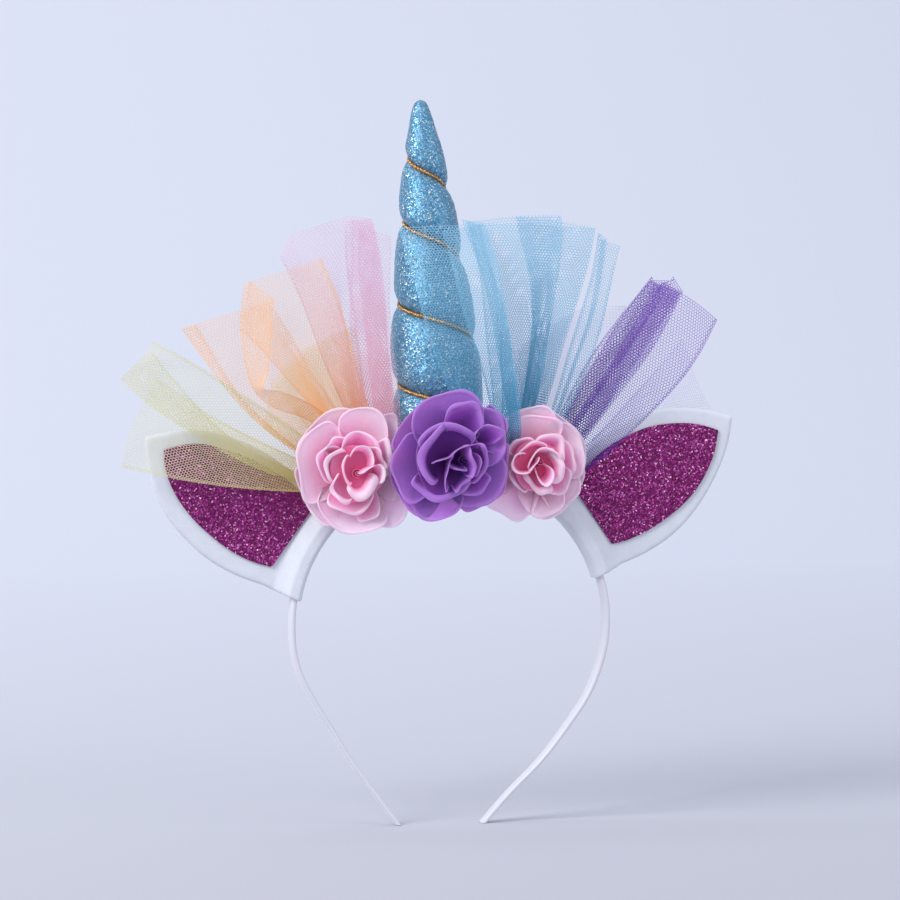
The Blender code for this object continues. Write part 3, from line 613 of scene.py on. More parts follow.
# %% Twist three strands along the path
cord_points, cord_faces = [], []
for strand in range(3):
    twist = 2 * math.pi * (run / twist_length + strand / 3)
    path = middle + (outward * np.cos(twist)[:, None] + sideways * np.sin(twist)[:, None]) * cord_width * 0.26
    tube_points, tube_faces = strand_tube(path, cord_width * strand_share)
    cord_faces.append(tube_faces + sum(len(part) for part in cord_points))
    cord_points.append(tube_points)
cord = mesh_piece("twisted_cord", np.vstack(cord_points), np.vstack(cord_faces))
close_ends(cord)
cord.data.materials.append(gold)
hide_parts("horn_cord")
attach(cord, body)
print("cord:", len(cord.data.polygons), "faces")


# %% [markdown]
# ## The roses
# A cloth rose is a stack of stamped petals, threaded on a stem and pinched at the middle. No two
# petals curl alike, so a rose made by turning one petal round and round looks stamped out of paper.
# Here each petal is drawn by its rim, the line that the eye follows: a few points on squared paper,
# to the right of and above the middle of the flower. The petal rises from its foot to that line and
# rolls over outward in a lip.

# %% Cloth for the petals
def petal_finish(name, deep, middle, pale, rim):
    """Dyed cloth with a fine weave: deep at the petal's foot, pale at its rim; the deep foot is partly painted shade
    of the flower's middle, and the pale rim partly a painted highlight.
    """
    finish, tree, shader = new_finish(name, middle, 0.85)
    shader.inputs["Sheen Weight"].default_value = 0.20
    shader.inputs["Specular IOR Level"].default_value = 0.20
    shader.inputs["Subsurface Weight"].default_value = 0.55
    shader.inputs["Subsurface Radius"].default_value = (1.0, 0.45, 0.75)
    shader.inputs["Subsurface Scale"].default_value = 0.0035
    place = add_node(tree, "ShaderNodeUVMap", uv_map="UVMap")
    parts = add_node(tree, "ShaderNodeSeparateXYZ")
    tree.links.new(place.outputs["UV"], parts.inputs["Vector"])
    # the ramp runs from foot to rim: dye tones, with painted shade in the deep foot and a painted highlight on the
    # rim
    shade = ramp_node(tree, [(0.0, deep), (0.48, middle), (0.80, pale), (1.0, rim)])
    tree.links.new(parts.outputs["Y"], shade.inputs["Fac"])
    tree.links.new(shade.outputs["Color"], shader.inputs["Base Color"])
    spot = add_node(tree, "ShaderNodeTexCoord")
    weave = add_node(tree, "ShaderNodeTexNoise", in_Scale=420.0, in_Detail=6.0, in_Roughness=0.65)
    tree.links.new(spot.outputs["Object"], weave.inputs["Vector"])
    bump = add_node(tree, "ShaderNodeBump", in_Strength=0.35, in_Distance=0.0006)
    tree.links.new(weave.outputs["Fac"], bump.inputs["Height"])
    tree.links.new(bump.outputs["Normal"], shader.inputs["Normal"])
    return finish


# the deep colours carry painted shade of the rose's middle, and the rim colours a painted highlight, on top of the
# dye's own tones
pink_cloth = petal_finish("pink_petal_cloth", (0.94, 0.085, 0.24), (0.99, 0.28, 0.53),
                          (0.99, 0.60, 0.84), (0.99, 0.61, 0.84))
purple_cloth = petal_finish("purple_petal_cloth", (0.075, 0.006, 0.110), (0.22, 0.050, 0.40),
                            (0.36, 0.13, 0.58), (0.41, 0.18, 0.65))
print("pink and purple cloth are ready")


# %% The petals of the left pink rose
# Rim points are in squares of the drawing paper; rise: height of the rim as a share of the flower's
# depth; lip: width of the rolled rim in millimetres; foot: how far out the petal starts
square = 0.000387
left_pink_petals = [
    # whorl,   rise,  lip, foot, rim
    ("outer",  0.10, 2.0, 0.15, [(-54, 22), (-42, 46), (-20, 59), (2, 60)]),
    ("outer",  0.10, 2.0, 0.15, [(-56, 2), (-53, -22), (-40, -42), (-24, -56)]),
    ("outer",  0.42, 2.5, 0.15, [(-26, 50), (-46, 38), (-57, 17), (-55, -8), (-45, -33)]),
    ("outer",  0.50, 2.0, 0.12, [(-14, 27), (-13, 52), (0, 63), (19, 62), (33, 47), (35, 27)]),
    ("outer",  0.30, 1.5, 0.20, [(28, 55), (42, 54), (47, 38), (45, 24)]),
    ("outer",  0.40, 2.5, 0.15, [(-37, -34), (-22, -54), (0, -64), (19, -61), (34, -50)]),
    ("outer",  0.26, 2.0, 0.20, [(25, -56), (44, -54), (57, -41), (53, -22)]),
    ("outer",  0.30, 2.0, 0.20, [(38, 32), (47, 10), (46, -12), (40, -30)]),
    ("middle", 0.70, 1.2, 0.35, [(-14, 23), (-8, 36), (2, 41), (13, 36), (25, 19)]),
    ("middle", 0.66, 3.0, 0.40, [(24, 29), (32, 33), (38, 22), (35, -1), (25, -14)]),
    ("middle", 0.78, 0.9, 0.50, [(12, 24), (20, 24), (27, 14), (30, 2)]),
    ("middle", 0.62, 1.1, 0.40, [(-15, 23), (-28, 25), (-38, 15), (-37, 1), (-25, -12)]),
    ("middle", 0.72, 2.0, 0.45, [(-12, 22), (-26, 18), (-32, 6), (-26, -10)]),
    ("middle", 0.74, 2.0, 0.45, [(-19, -4), (-26, -17), (-20, -28), (-5, -32)]),
    ("middle", 0.58, 1.0, 0.30, [(-30, 20), (-22, 32), (-10, 34)]),
    ("middle", 0.55, 1.5, 0.35, [(-27, -31), (-12, -42), (4, -43), (16, -34), (20, -20)]),
    ("middle", 0.45, 1.0, 0.30, [(22, -18), (26, -33), (22, -47), (6, -51)]),
    ("inner",  0.88, 4.0, 0.40, [(-9, -21), (0, -30), (11, -28), (20, -17), (22, -5)]),
    ("inner",  0.95, 0.9, 0.45, [(-5, 18), (0, 26), (9, 25), (17, 15), (16, 5)]),
    ("inner",  0.92, 1.3, 0.35, [(3, -3), (13, 3), (24, 7), (29, -1), (26, -12)]),
    ("inner",  0.80, 0.9, 0.30, [(-8, 17), (-14, 8), (-13, -6), (-5, -14)]),
]
print("left pink rose:", len(left_pink_petals), "petals")

# %% The petals of the purple rose
purple_petals = [
    ("outer",  0.08, 2.0, 0.15, [(-56, 10), (-50, 32), (-34, 46), (-14, 56)]),
    ("outer",  0.08, 2.0, 0.15, [(-58, -18), (-50, -40), (-36, -54), (-22, -60)]),
    ("outer",  0.08, 2.0, 0.15, [(20, -56), (42, -46), (57, -32), (60, -8), (58, 14)]),
    ("outer",  0.42, 2.6, 0.12, [(-38, 24), (-35, 45), (-19, 61), (0, 66), (20, 64), (35, 48), (34, 34)]),
    ("outer",  0.40, 2.6, 0.15, [(-42, 24), (-55, 7), (-59, -9), (-54, -28), (-38, -46)]),
    ("outer",  0.30, 2.6, 0.18, [(-41, -42), (-31, -57), (-14, -64), (1, -60), (13, -46)]),
    ("outer",  0.36, 3.0, 0.15, [(6, -47), (30, -49), (51, -37), (60, -17), (52, 0)]),
    ("outer",  0.46, 3.0, 0.15, [(30, 51), (45, 47), (56, 30), (57, 10), (42, -9)]),
    ("outer",  0.24, 2.0, 0.20, [(33, 44), (42, 53), (53, 44), (58, 28)]),
    ("middle", 0.56, 2.8, 0.40, [(-4, 46), (7, 55), (19, 57), (30, 48), (34, 35)]),
    ("middle", 0.62, 3.2, 0.45, [(-41, -25), (-29, -38), (-12, -44), (5, -39), (20, -18)]),
    ("middle", 0.72, 3.0, 0.50, [(-34, 13), (-28, 28), (-9, 35), (10, 33), (24, 18)]),
    ("middle", 0.80, 3.2, 0.55, [(-8, 33), (-27, 20), (-36, 1), (-33, -17), (-20, -27)]),
    ("middle", 0.58, 1.6, 0.50, [(22, 19), (31, 31), (45, 32), (53, 22)]),
    ("middle", 0.50, 1.6, 0.45, [(40, -20), (31, -35), (14, -38)]),
    ("inner",  0.90, 0.9, 0.45, [(-22, -5), (-7, 1), (3, 9), (13, 13), (27, 14)]),
    ("inner",  0.84, 1.1, 0.40, [(3, 7), (-5, -3), (-7, -13), (-9, -24), (-8, -34)]),
    ("inner",  0.78, 0.9, 0.30, [(-6, -6), (3, -12), (14, -12)]),
    ("inner",  0.90, 1.1, 0.45, [(14, 13), (18, 2), (22, -11), (18, -20)]),
    ("inner",  0.66, 1.6, 0.55, [(30, 14), (37, -1), (32, -15), (22, -26)]),
    ("inner",  0.76, 0.9, 0.50, [(25, 4), (28, -7), (23, -18)]),
    ("inner",  0.70, 1.2, 0.45, [(22, -14), (11, -27), (3, -34)]),
]
print("purple rose:", len(purple_petals), "petals")

# %% The petals of the right pink rose
right_pink_petals = [
    ("outer",  0.08, 2.0, 0.15, [(6, 56), (26, 48), (42, 34), (52, 14), (52, -8)]),
    ("outer",  0.08, 2.0, 0.15, [(50, -6), (48, -28), (38, -42), (24, -52), (6, -58)]),
    ("outer",  0.08, 2.0, 0.15, [(-4, 56), (-24, 46), (-38, 28), (-45, 6)]),
    ("outer",  0.28, 2.0, 0.15, [(-24, 37), (-15, 51), (0, 57), (15, 53), (24, 39)]),
    ("outer",  0.42, 2.2, 0.15, [(-31, 26), (-23, 40), (-7, 47), (13, 46), (28, 37)]),
    ("outer",  0.36, 2.2, 0.15, [(20, 42), (37, 37), (48, 20), (52, 2), (44, -16)]),
    ("outer",  0.30, 2.0, 0.18, [(46, -12), (45, -30), (35, -43), (22, -50)]),
    ("outer",  0.40, 2.5, 0.15, [(-17, -38), (-5, -52), (10, -57), (23, -51), (30, -35)]),
    ("outer",  0.26, 2.0, 0.20, [(-49, -42), (-35, -53), (-18, -59), (-4, -51)]),
    ("outer",  0.28, 2.0, 0.20, [(-28, 22), (-38, 5), (-44, -15), (-46, -36)]),
    ("middle", 0.60, 1.1, 0.40, [(-31, 12), (-25, 21), (-16, 25), (-3, 22)]),
    ("middle", 0.78, 1.0, 0.45, [(-20, 9), (-12, 19), (0, 22), (9, 16)]),
    ("middle", 0.66, 2.6, 0.40, [(0, 25), (14, 30), (25, 26), (28, 14), (26, 0)]),
    ("middle", 0.48, 1.6, 0.35, [(27, 24), (36, 15), (40, 0), (37, -13)]),
    ("middle", 0.58, 1.4, 0.35, [(34, -8), (32, -25), (24, -33), (9, -30)]),
    ("middle", 0.68, 3.0, 0.40, [(-15, -13), (-7, -26), (3, -33), (16, -29)]),
    ("middle", 0.50, 1.2, 0.35, [(-29, -11), (-22, -23), (-12, -31)]),
    ("inner",  0.84, 3.0, 0.50, [(12, 15), (22, 5), (27, -6), (24, -17), (15, -22)]),
    ("inner",  0.95, 0.9, 0.40, [(-11, -6), (-10, 6), (-3, 14), (9, 15), (21, 5)]),
    ("inner",  0.90, 1.0, 0.55, [(-16, 10), (-27, 8), (-30, -1), (-24, -10), (-13, -11), (-4, -2)]),
    ("inner",  0.94, 1.1, 0.40, [(-4, -7), (-1, -19), (6, -24), (13, -18), (14, -8), (7, -2)]),
    ("inner",  1.00, 0.7, 0.50, [(-12, -9), (-6, -1), (-1, 6)]),
]
print("right pink rose:", len(right_pink_petals), "petals")

# %% Where each rose sits
# The bowl is the cupped floor between the inner petals: its middle, its radius in squares, and the
# height of its floor and of its edge as shares of the flower's depth.
roses = {
    "left_pink_rose": {"x": -0.0405, "y": -0.0102, "z": 0.0015, "depth": 0.0160, "petals": left_pink_petals,
                       "heart": (3, -2), "bowl": (2, -2, 28, 0.48, 0.60), "cloth": pink_cloth,
                       "slot": "pink_petals"},
    "purple_rose": {"x": -0.0050, "y": -0.0187, "z": 0.0066, "depth": 0.0185, "petals": purple_petals,
                    "heart": (13, -2), "bowl": (-3, -3, 34, 0.36, 0.56), "cloth": purple_cloth,
                    "slot": "purple_petals"},
    "right_pink_rose": {"x": 0.0305, "y": -0.0100, "z": 0.0042, "depth": 0.0158, "petals": right_pink_petals,
                        "heart": (2, 0), "bowl": (0, -3, 25, 0.46, 0.52), "cloth": pink_cloth,
                        "slot": "pink_petals"},
}
petal_columns, petal_rows = 21, 17
bowl_columns, bowl_rows = 36, 9
heart_columns, heart_rows = 50, 9
outer_foot = 0.3
lip_start = 0.76
petal_wall = 0.00022
print(len(roses), "roses")


# %% The shape of one petal
def petal(rose, rise, lip, foot, rim, seed):
    """Points and uvs of one petal: from its foot up to the rim line, and over in a lip."""
    own = np.random.default_rng(seed)
    outer = foot < outer_foot
    across, along = np.meshgrid(np.linspace(0, 1, petal_columns), np.linspace(0, 1, petal_rows))
    drawn = np.array(rim, float) @ [1, 1j] * square
    shrink, turn = (0.66, 0.24) if outer else (0.80, 0.10)
    before = drawn[0] * shrink * np.exp(1j * turn * np.sign((drawn[0] / drawn[1]).imag))
    after = drawn[-1] * shrink * np.exp(1j * turn * np.sign((drawn[-1] / drawn[-2]).imag))
    drawn = np.concatenate([[before], drawn, [after]])
    places = np.concatenate([[0], np.cumsum(np.abs(np.diff(drawn)))])
    places /= places[-1]
    rim_x = smooth_table(np.stack([places, drawn.real], axis=-1), across)
    rim_z = smooth_table(np.stack([places, drawn.imag], axis=-1), across)
    from_middle = np.hypot(rim_x, rim_z) + 1e-6
    out_x, out_z = rim_x / from_middle, rim_z / from_middle
    edge = np.abs(2 * across - 1) ** 5
    roll = lip / 1000 * (0.55 if outer else 0.90) * (1 - 0.8 * edge)
    rim_x, rim_z = rim_x - out_x * roll, rim_z - out_z * roll
    climb = np.clip(along / lip_start, 0, 1)
    over = np.clip((along - lip_start) / (1 - lip_start), 0, 1) * 2.5
    reach = foot + (1 - foot) * (1 - (1 - climb) ** 1.4)
    start = rose["depth"] * rise * (0.10 if outer else 0.30)
    crest = 0.16 + 0.5 * rise + 0.07 * (across - 0.5) if outer else rise
    top = rose["depth"] * crest * (1 - 0.30 * edge) - roll / 2
    height = start + (top - start) * climb ** (0.80 if outer else 1.3) + roll / 2 * np.sin(over)
    x = rim_x * reach + out_x * roll / 2 * (1 - np.cos(over))
    z = rim_z * reach + out_z * roll / 2 * (1 - np.cos(over))
    height += 0.0008 * np.sin(across * own.uniform(8, 15) + own.uniform(0, 6)) * along ** 2
    wave = 1 + 0.03 * np.sin(across * own.uniform(12, 18) + own.uniform(0, 6)) * along ** 3
    x, z = x * wave, z * wave
    points = np.stack([rose["x"] + x, rose["y"] - height, rose["z"] + z], axis=-1)
    # outer petals start partway up the cloth's ramp, so they get little of its deep tone and the painted shade in it
    paler = 0.42 if outer else 0.0
    uvs = np.stack([across, paler + (1 - paler) * along], axis=-1)
    return points.reshape(-1, 3), uvs.reshape(-1, 2)


def bowl(rose):
    """The cupped floor of a rose, so that nothing shows between its inner petals."""
    across, along = np.meshgrid(np.linspace(0, 2 * math.pi, bowl_columns, endpoint=False),
                                np.linspace(0.03, 1, bowl_rows))
    middle_x, middle_z, radius, floor, rim = rose["bowl"]
    wave = 1 + 0.06 * np.sin(across * 3 + 1) * along
    x = (middle_x + radius * along * wave * np.cos(across)) * square
    z = (middle_z + radius * along * wave * np.sin(across)) * square
    height = rose["depth"] * (floor + (rim - floor) * along ** 2)
    points = np.stack([rose["x"] + x, rose["y"] - height, rose["z"] + z], axis=-1)
    # its uvs read the deep end of the cloth's ramp: the dye's deep tone, partly painted shade of the flower's middle
    return points.reshape(-1, 3), np.stack([across / 7, 0.36 * along], axis=-1).reshape(-1, 2)


# %% Thickness for the cloth
def cloth_wall(piece):
    """Give a cloth piece its thickness and smooth it."""
    shell = piece.modifiers.new("cloth", "SOLIDIFY")
    shell.thickness = petal_wall
    shell.offset = 0.0
    smooth = piece.modifiers.new("smooth", "SUBSURF")
    smooth.levels = smooth.render_levels = 1
    finish_modifiers(piece)
    only(piece)
    bpy.ops.object.shade_smooth()
    return piece


# %% A whorl of petals and the rolled heart
def make_whorl(rose_name, whorl):
    """All the petals of one whorl as one piece."""
    rose = roses[rose_name]
    all_points, all_uvs, all_faces = [], [], []
    for index, (its_whorl, rise, lip, foot, rim) in enumerate(rose["petals"]):
        if its_whorl != whorl:
            continue
        points, uvs = petal(rose, rise, lip, foot, rim, index)
        all_faces.append(grid_faces(petal_columns, petal_rows) + sum(len(part) for part in all_points))
        all_points.append(points)
        all_uvs.append(uvs)
    if whorl == "inner":
        points, uvs = bowl(rose)
        all_faces.append(grid_faces(bowl_columns, bowl_rows, closed=True) + sum(len(part) for part in all_points))
        all_points.append(points)
        all_uvs.append(uvs)
    piece = mesh_piece(rose_name + "_" + whorl + "_cloth", np.vstack(all_points), np.vstack(all_faces),
                       np.vstack(all_uvs))
    return cloth_wall(piece)


def make_heart(rose_name):
    """The rolled strip at the middle of a rose."""
    rose = roses[rose_name]
    across, along = np.meshgrid(np.linspace(0, 1, heart_columns), np.linspace(0, 1, heart_rows))
    angle = across * 1.8 * 2 * math.pi
    radius = 0.0026 * (0.10 + 0.90 * across) * (0.70 + 0.30 * along)
    rise = 0.0028 + (0.66 * rose["depth"] - 0.0028) * along * (1.0 - 0.22 * across + 0.05 * np.sin(across * 17))
    points = np.stack([rose["x"] + rose["heart"][0] * square + radius * np.cos(angle), rose["y"] - rise,
                       rose["z"] + rose["heart"][1] * square + 0.8 * radius * np.sin(angle)], axis=-1).reshape(-1, 3)
    # the heart reads the deep half of the cloth's ramp: the dye's deep tone, partly painted shade of the flower's
    # middle
    uvs = np.stack([across, along * 0.45], axis=-1).reshape(-1, 2)
    piece = mesh_piece(rose_name + "_heart_cloth", points, grid_faces(heart_columns, heart_rows), uvs)
    return cloth_wall(piece)


# %% Make the roses
for rose_name, rose in roses.items():
    made = [(make_whorl(rose_name, whorl), rose_name + "_" + whorl + "_petals")
            for whorl in ("outer", "middle", "inner")]
    made.append((make_heart(rose_name), rose_name + "_bud"))
    for piece, node in made:
        piece.data.materials.append(rose["cloth"])
        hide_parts(node)
        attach(piece, body)
    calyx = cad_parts[rose_name + "_calyx"]
    calyx.data.materials.clear()
    calyx.data.materials.append(leaf_green)
    print(rose_name, sum(len(piece.data.polygons) for piece, _ in made), "faces")


# %% [markdown]
# ## The tulle
# Tulle is a net of six-sided cells a little over a millimetre across. A texture with holes would do
# from far off, but real threads show the shimmer where layers cross, as in the photograph. Each sheet
# is laid out flat as a six-sided net first. Then every knot is carried to its place on the gathered
# sheet: narrow on the band, fanned out at the free edge, and folded over itself on the way. Each
# thread becomes one flat ribbon, which keeps the mesh light.

# %% The sheets: where they start, how far they reach and how they fold
# Every fold line runs from the band to a point on the free edge. Those points are given in squares
# of the drawing paper, right of and above the crown of the band, with the line's bow at half way.
# Where the points go back and forth, the sheet is folded over itself.
# A path has rows of: share of the length, middle (two values), and half the width (two values).
# Lanes lie one behind the other, and open out forward or back towards the free edge.
lane_step, first_lane = 0.0013, -0.0022
lane_spread = [-0.012, -0.008, -0.004, 0.010]
cell, thread = 0.00117, 0.00017
root_lift = 0.0005
veil_start, veil_forward, veil_back = -0.0049, 0.0142, 0.0065
layer_gap, layer_spread = 0.0008, 0.0022
sheets = {
    "yellow_lower": {"root": (-0.0350, -0.0320), "lane": 0, "hems": (0.0015, 0.0015),
                     "folds": [(-335, 8, -8), (-323, 42, -4), (-311, 72, -6), (-302, 97, -8)]},
    "yellow_upper": {"root": (-0.0380, -0.0325), "lane": 1, "hems": (0.0010, 0.0015),
                     "folds": [(-299, 121, -30), (-331, 94, -19), (-300, 131, 9)]},
    "yellow_back": {"root": (-0.0350, -0.0260), "lane": 3, "hems": (0.0010, 0.0010),
                    "folds": [(-184, 44, 0), (-178, 92, 0), (-139, 125, 0), (-92, 149, 0), (-136, 122, 0),
                              (-174, 86, 0)]},
    "orange_left": {"root": (-0.0340, -0.0285), "lane": 2, "hems": (0.0010, 0.0010),
                    "folds": [(-258, 149, -20), (-272, 144, -19), (-213, 162, 0), (-186, 172, 4)]},
    "orange_fold": {"root": (-0.0320, -0.0300), "lane": 0, "hems": (0.0012, 0.0012),
                    "path": [(0.0, -82, 2, 4, 4), (0.30, -140, 58, 5, 6), (0.50, -180, 75, 4, 7),
                             (0.60, -196, 84, 3, 1), (0.68, -198, 100, 9, -1), (0.82, -200, 140, 16, -2),
                             (1.0, -194, 181, 15, -9)]},
    "orange_wide": {"root": (-0.0310, -0.0250), "lane": 1, "hems": (0.0010, 0.0015),
                    "folds": [(-217, 142, 7), (-208, 188, 2), (-170, 201, 0), (-131, 213, 4)]},
    "pink_wide": {"root": (-0.0290, -0.0195), "lane": 2, "hems": (0.0010, 0.0015),
                  "folds": [(-172, 213, 0), (-158, 236, 0), (-107, 255, -20), (-78, 252, 3), (-104, 249, -15)]},
    "pink_strip": {"root": (-0.0270, -0.0170), "lane": 0, "hems": (0.0010, 0.0010),
                   "folds": [(-106, 251, -14), (-80, 248, 1), (-97, 243, -8), (-67, 235, -3)]},
    "blue_veil": {"root": (0.0130, 0.0250), "lane": "veil", "hems": (0.0015, 0.0015),
                  "folds": [(-57, 243, -13), (30, 248, 8), (8, 252, 6), (27, 246, 8), (-16, 240, 2)]},
    "blue_wide": {"root": (0.0170, 0.0270), "lane": 1, "hems": (0.0010, 0.0015),
                  "folds": [(12, 250, 8), (60, 256, 18), (109, 257, 12), (64, 256, 20), (98, 253, 4),
                            (145, 245, 6), (70, 249, 10), (18, 248, 18)]},
    "blue_right": {"root": (0.0290, 0.0320), "lane": 0, "hems": (0.0015, 0.0015),
                   "folds": [(143, 240, 6), (155, 234, 10), (149, 233, 9), (170, 227, 11)]},
    "purple_left": {"root": (0.0315, 0.0340), "lane": 1, "hems": (0.0010, 0.0010),
                    "folds": [(201, 197, -12), (209, 187, -6), (224, 193, 2), (203, 193, -10), (231, 180, 10),
                              (208, 190, -8)]},
    "purple_right": {"root": (0.0335, 0.0385), "lane": 0, "hems": (0.0010, 0.0015),
                     "folds": [(219, 196, -2), (233, 180, 8), (211, 190, -4), (271, 152, 17)]},
    "lavender_upper": {"root": (0.0240, 0.0310), "lane": 2, "hems": (0.0010, 0.0010),
                       "folds": [(55, 118, 0), (100, 146, 0), (142, 167, 0), (180, 167, 4)]},
    "lavender_right": {"root": (0.0340, 0.0390), "lane": 3, "hems": (0.0010, 0.0010),
                       "folds": [(246, 135, 8), (284, 57, 14)]},
}


print(len(sheets), "sheets of tulle")


# %% From a place on the flat cloth to its place in the folds
def band_top(x):
    """Height of the arch's outer face over a place x."""
    share = np.clip(np.abs(x) / (half_span + band_thickness / 2), 0, 1)
    return (arch_rise + band_thickness / 2) * np.sqrt(1 - share ** 2) - arch_rise + band_thickness / 2


def path_point(sheet, across, along):
    """A place on a twisted strip, which follows a middle line and narrows and widens on the way."""
    rows = np.array(sheet["path"], float)
    x, z, wide_x, wide_z = (smooth_table(rows[:, [0, column]], along) * square for column in (1, 2, 3, 4))
    side = 2 * across - 1
    y = first_lane - 0.0120 * along - 0.0025 * np.sin(math.pi * along) * side
    return x + wide_x * side, y, z + wide_z * side


def fold_point(sheet, across, along):
    """A place on a folded sheet: across follows the free edge, along goes out from the band."""
    folds = np.array(sheet["folds"], float)
    steps = np.hypot(*np.diff(folds[:, :2], axis=0).T)
    places = np.concatenate([[0], np.cumsum(steps)]) / steps.sum()
    edge_x, edge_z, bow = (np.interp(across, places, folds[:, column]) * square for column in (0, 1, 2))
    low, high = folds[:, 0].min() * square, folds[:, 0].max() * square
    root_x = sheet["root"][0] + (sheet["root"][1] - sheet["root"][0]) * (edge_x - low) / (high - low)
    root_z = band_top(root_x) + root_lift
    if sheet["lane"] == "veil":
        root_z = root_z - band_thickness
    run_x, run_z = edge_x - root_x, edge_z - root_z
    run = np.hypot(run_x, run_z)
    sideways = bow * 4 * along * (1 - along) / run
    x = root_x + run_x * along + run_z * sideways
    z = root_z + run_z * along - run_x * sideways
    if sheet["lane"] == "veil":
        y = veil_start - veil_forward * ease(z / 0.0180) + veil_back * ease((z - 0.045) / 0.060)
    else:
        y = first_lane + lane_step * sheet["lane"] + lane_spread[sheet["lane"]] * along
    return x, y + (layer_gap + layer_spread * along) * across, z


def sheet_point(sheet, across, along):
    """A place on a sheet, as points in the row frame."""
    place = path_point if "path" in sheet else fold_point
    return np.stack(place(sheet, across, along), axis=-1)


# %% Lay out the six-sided net
def net_threads(width, length, hems):
    """Both ends of every thread of a six-sided net that fills a strip, in flat metres."""
    side = cell / math.sqrt(3)
    columns = int((width + sum(hems)) / cell) + 2
    rows = int(length / (1.5 * side)) + 2
    row, column = np.meshgrid(np.arange(rows), np.arange(columns), indexing="ij")
    x = (column * cell + (row % 2) * cell / 2 - hems[0]).ravel()
    y = (row * 1.5 * side).ravel()
    low, high = np.stack([x, y - side / 2], axis=-1), np.stack([x, y + side / 2], axis=-1)
    starts = np.vstack([low, high, high])
    ends = np.vstack([high, high + [cell / 2, side / 2], high + [-cell / 2, side / 2]])
    inside = np.ones(len(starts), bool)
    for place in (starts, ends):
        inside &= (place[:, 0] >= -hems[0]) & (place[:, 0] <= width + hems[1])
        inside &= (place[:, 1] >= 0) & (place[:, 1] <= length)
    return starts[inside], ends[inside]


# %% Carry the net to the folded sheet
hem_gap, small_step, edge_samples = 0.0005, 0.0002, 400
ruffle_depth, ruffle_width = 0.0006, 0.0009


def tulle_sheet(name, sheet):
    """A sheet of net: its threads laid out flat, then carried to the folded, gathered shape."""
    samples = np.linspace(0, 1, edge_samples)
    edge_line = sheet_point(sheet, samples, np.full(edge_samples, 0.9))
    run = np.concatenate([[0], np.cumsum(np.linalg.norm(np.diff(edge_line, axis=0), axis=1))])
    width = run[-1]
    middle_line = sheet_point(sheet, np.full(40, 0.5), np.linspace(0, 1, 40))
    length = np.linalg.norm(np.diff(middle_line, axis=0), axis=1).sum()

    def carry(flat):
        across = np.abs(flat[:, 0])
        back = (flat[:, 0] < 0) | (flat[:, 0] > width)
        across = np.where(flat[:, 0] > width, 2 * width - flat[:, 0], across)
        spot = sheet_point(sheet, np.interp(across, run, samples), flat[:, 1] / length)
        spot[:, 1] += np.where(back, hem_gap, 0.0)
        wave = np.sin(flat[:, 0] * 210 + 3 * np.sin(flat[:, 1] * 60)) * np.sin(flat[:, 1] * 130 + flat[:, 0] * 40)
        spot[:, 1] += ruffle_depth * wave * ease(flat[:, 1] / length)
        spot[:, 0] += ruffle_width * np.sin(flat[:, 1] * 95 + flat[:, 0] * 160) * ease(flat[:, 1] / length)
        return spot

    starts, ends = net_threads(width, length, sheet["hems"])
    first, last = carry(starts), carry(ends)
    middle = (starts + ends) / 2
    slope_x = carry(middle + [small_step, 0]) - carry(middle - [small_step, 0])
    slope_y = carry(middle + [0, small_step]) - carry(middle - [0, small_step])
    normal = np.cross(slope_x, slope_y)
    side = np.cross(normal, last - first)
    side /= np.maximum(np.linalg.norm(side, axis=1, keepdims=True), 1e-12)
    side *= thread / 2
    points = np.stack([first - side, last - side, last + side, first + side], axis=1).reshape(-1, 3)
    uvs = np.repeat(np.stack([middle[:, 0] / width, middle[:, 1] / length], axis=-1), 4, axis=0)
    faces = np.arange(len(points)).reshape(-1, 4)
    piece = mesh_piece(name + "_net", points, faces, uvs)
    whole = width + sum(sheet["hems"])
    a, b, c, d = points.reshape(-1, 4, 3).transpose(1, 0, 2)
    cloth = np.linalg.norm(np.cross(c - a, d - b), axis=1).sum() / 2
    print("%-16s cut %.0f x %.0f mm, %d threads, thread share %.2f" % (
        name, whole * 1000, length * 1000, len(faces), cloth / whole / length))
    return piece, whole, length


# %% Colour the nets and make them
def net_finish(name, deep, pale):
    """Dyed nylon thread, coloured deeper near the band and paler towards the free edge."""
    finish, tree, shader = new_finish(name, pale, 0.55)
    shader.inputs["Sheen Weight"].default_value = 0.1
    place = add_node(tree, "ShaderNodeUVMap", uv_map="UVMap")
    parts = add_node(tree, "ShaderNodeSeparateXYZ")
    tree.links.new(place.outputs["UV"], parts.inputs["Vector"])
    shade = ramp_node(tree, [(0.30, deep), (0.85, pale)])
    tree.links.new(parts.outputs["Y"], shade.inputs["Fac"])
    tree.links.new(shade.outputs["Color"], shader.inputs["Base Color"])
    return finish


net_colours = {"yellow": [(0.62, 0.52, 0.18), (0.72, 0.70, 0.42)],
               "orange": [(0.93, 0.38, 0.05), (0.95, 0.55, 0.29)],
               "pink": [(0.84, 0.38, 0.48), (0.80, 0.52, 0.70)],
               "blue": [(0.06, 0.30, 0.50), (0.27, 0.56, 0.76)],
               "purple": [(0.07, 0.012, 0.28), (0.22, 0.10, 0.50)],
               "lavender": [(0.50, 0.50, 0.76), (0.70, 0.70, 0.86)]}
net_finishes = {colour: net_finish(colour + "_net", *shades) for colour, shades in net_colours.items()}
for name, sheet in sheets.items():
    piece, width, length = tulle_sheet(name, sheet)
    colour = name.split("_")[0]
    piece.data.materials.append(net_finishes[colour])
    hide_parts(name + "_tulle")
    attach(piece, body)


# %% [markdown]
# ## Stage, light and camera
# The headband stands on its tips on a pale sheet of paper that curves up behind it, so there is no
# horizon line. The sheet is a plane whose back edge is extruded upward, and the corner between is
# bevelled into a wide curve. A large soft lamp on the left lights the headband as in the photograph, a
# weaker one on the right keeps the shadows open, and a third lights the paper behind. The camera
# stands where the line of sight in the ears' cell starts.

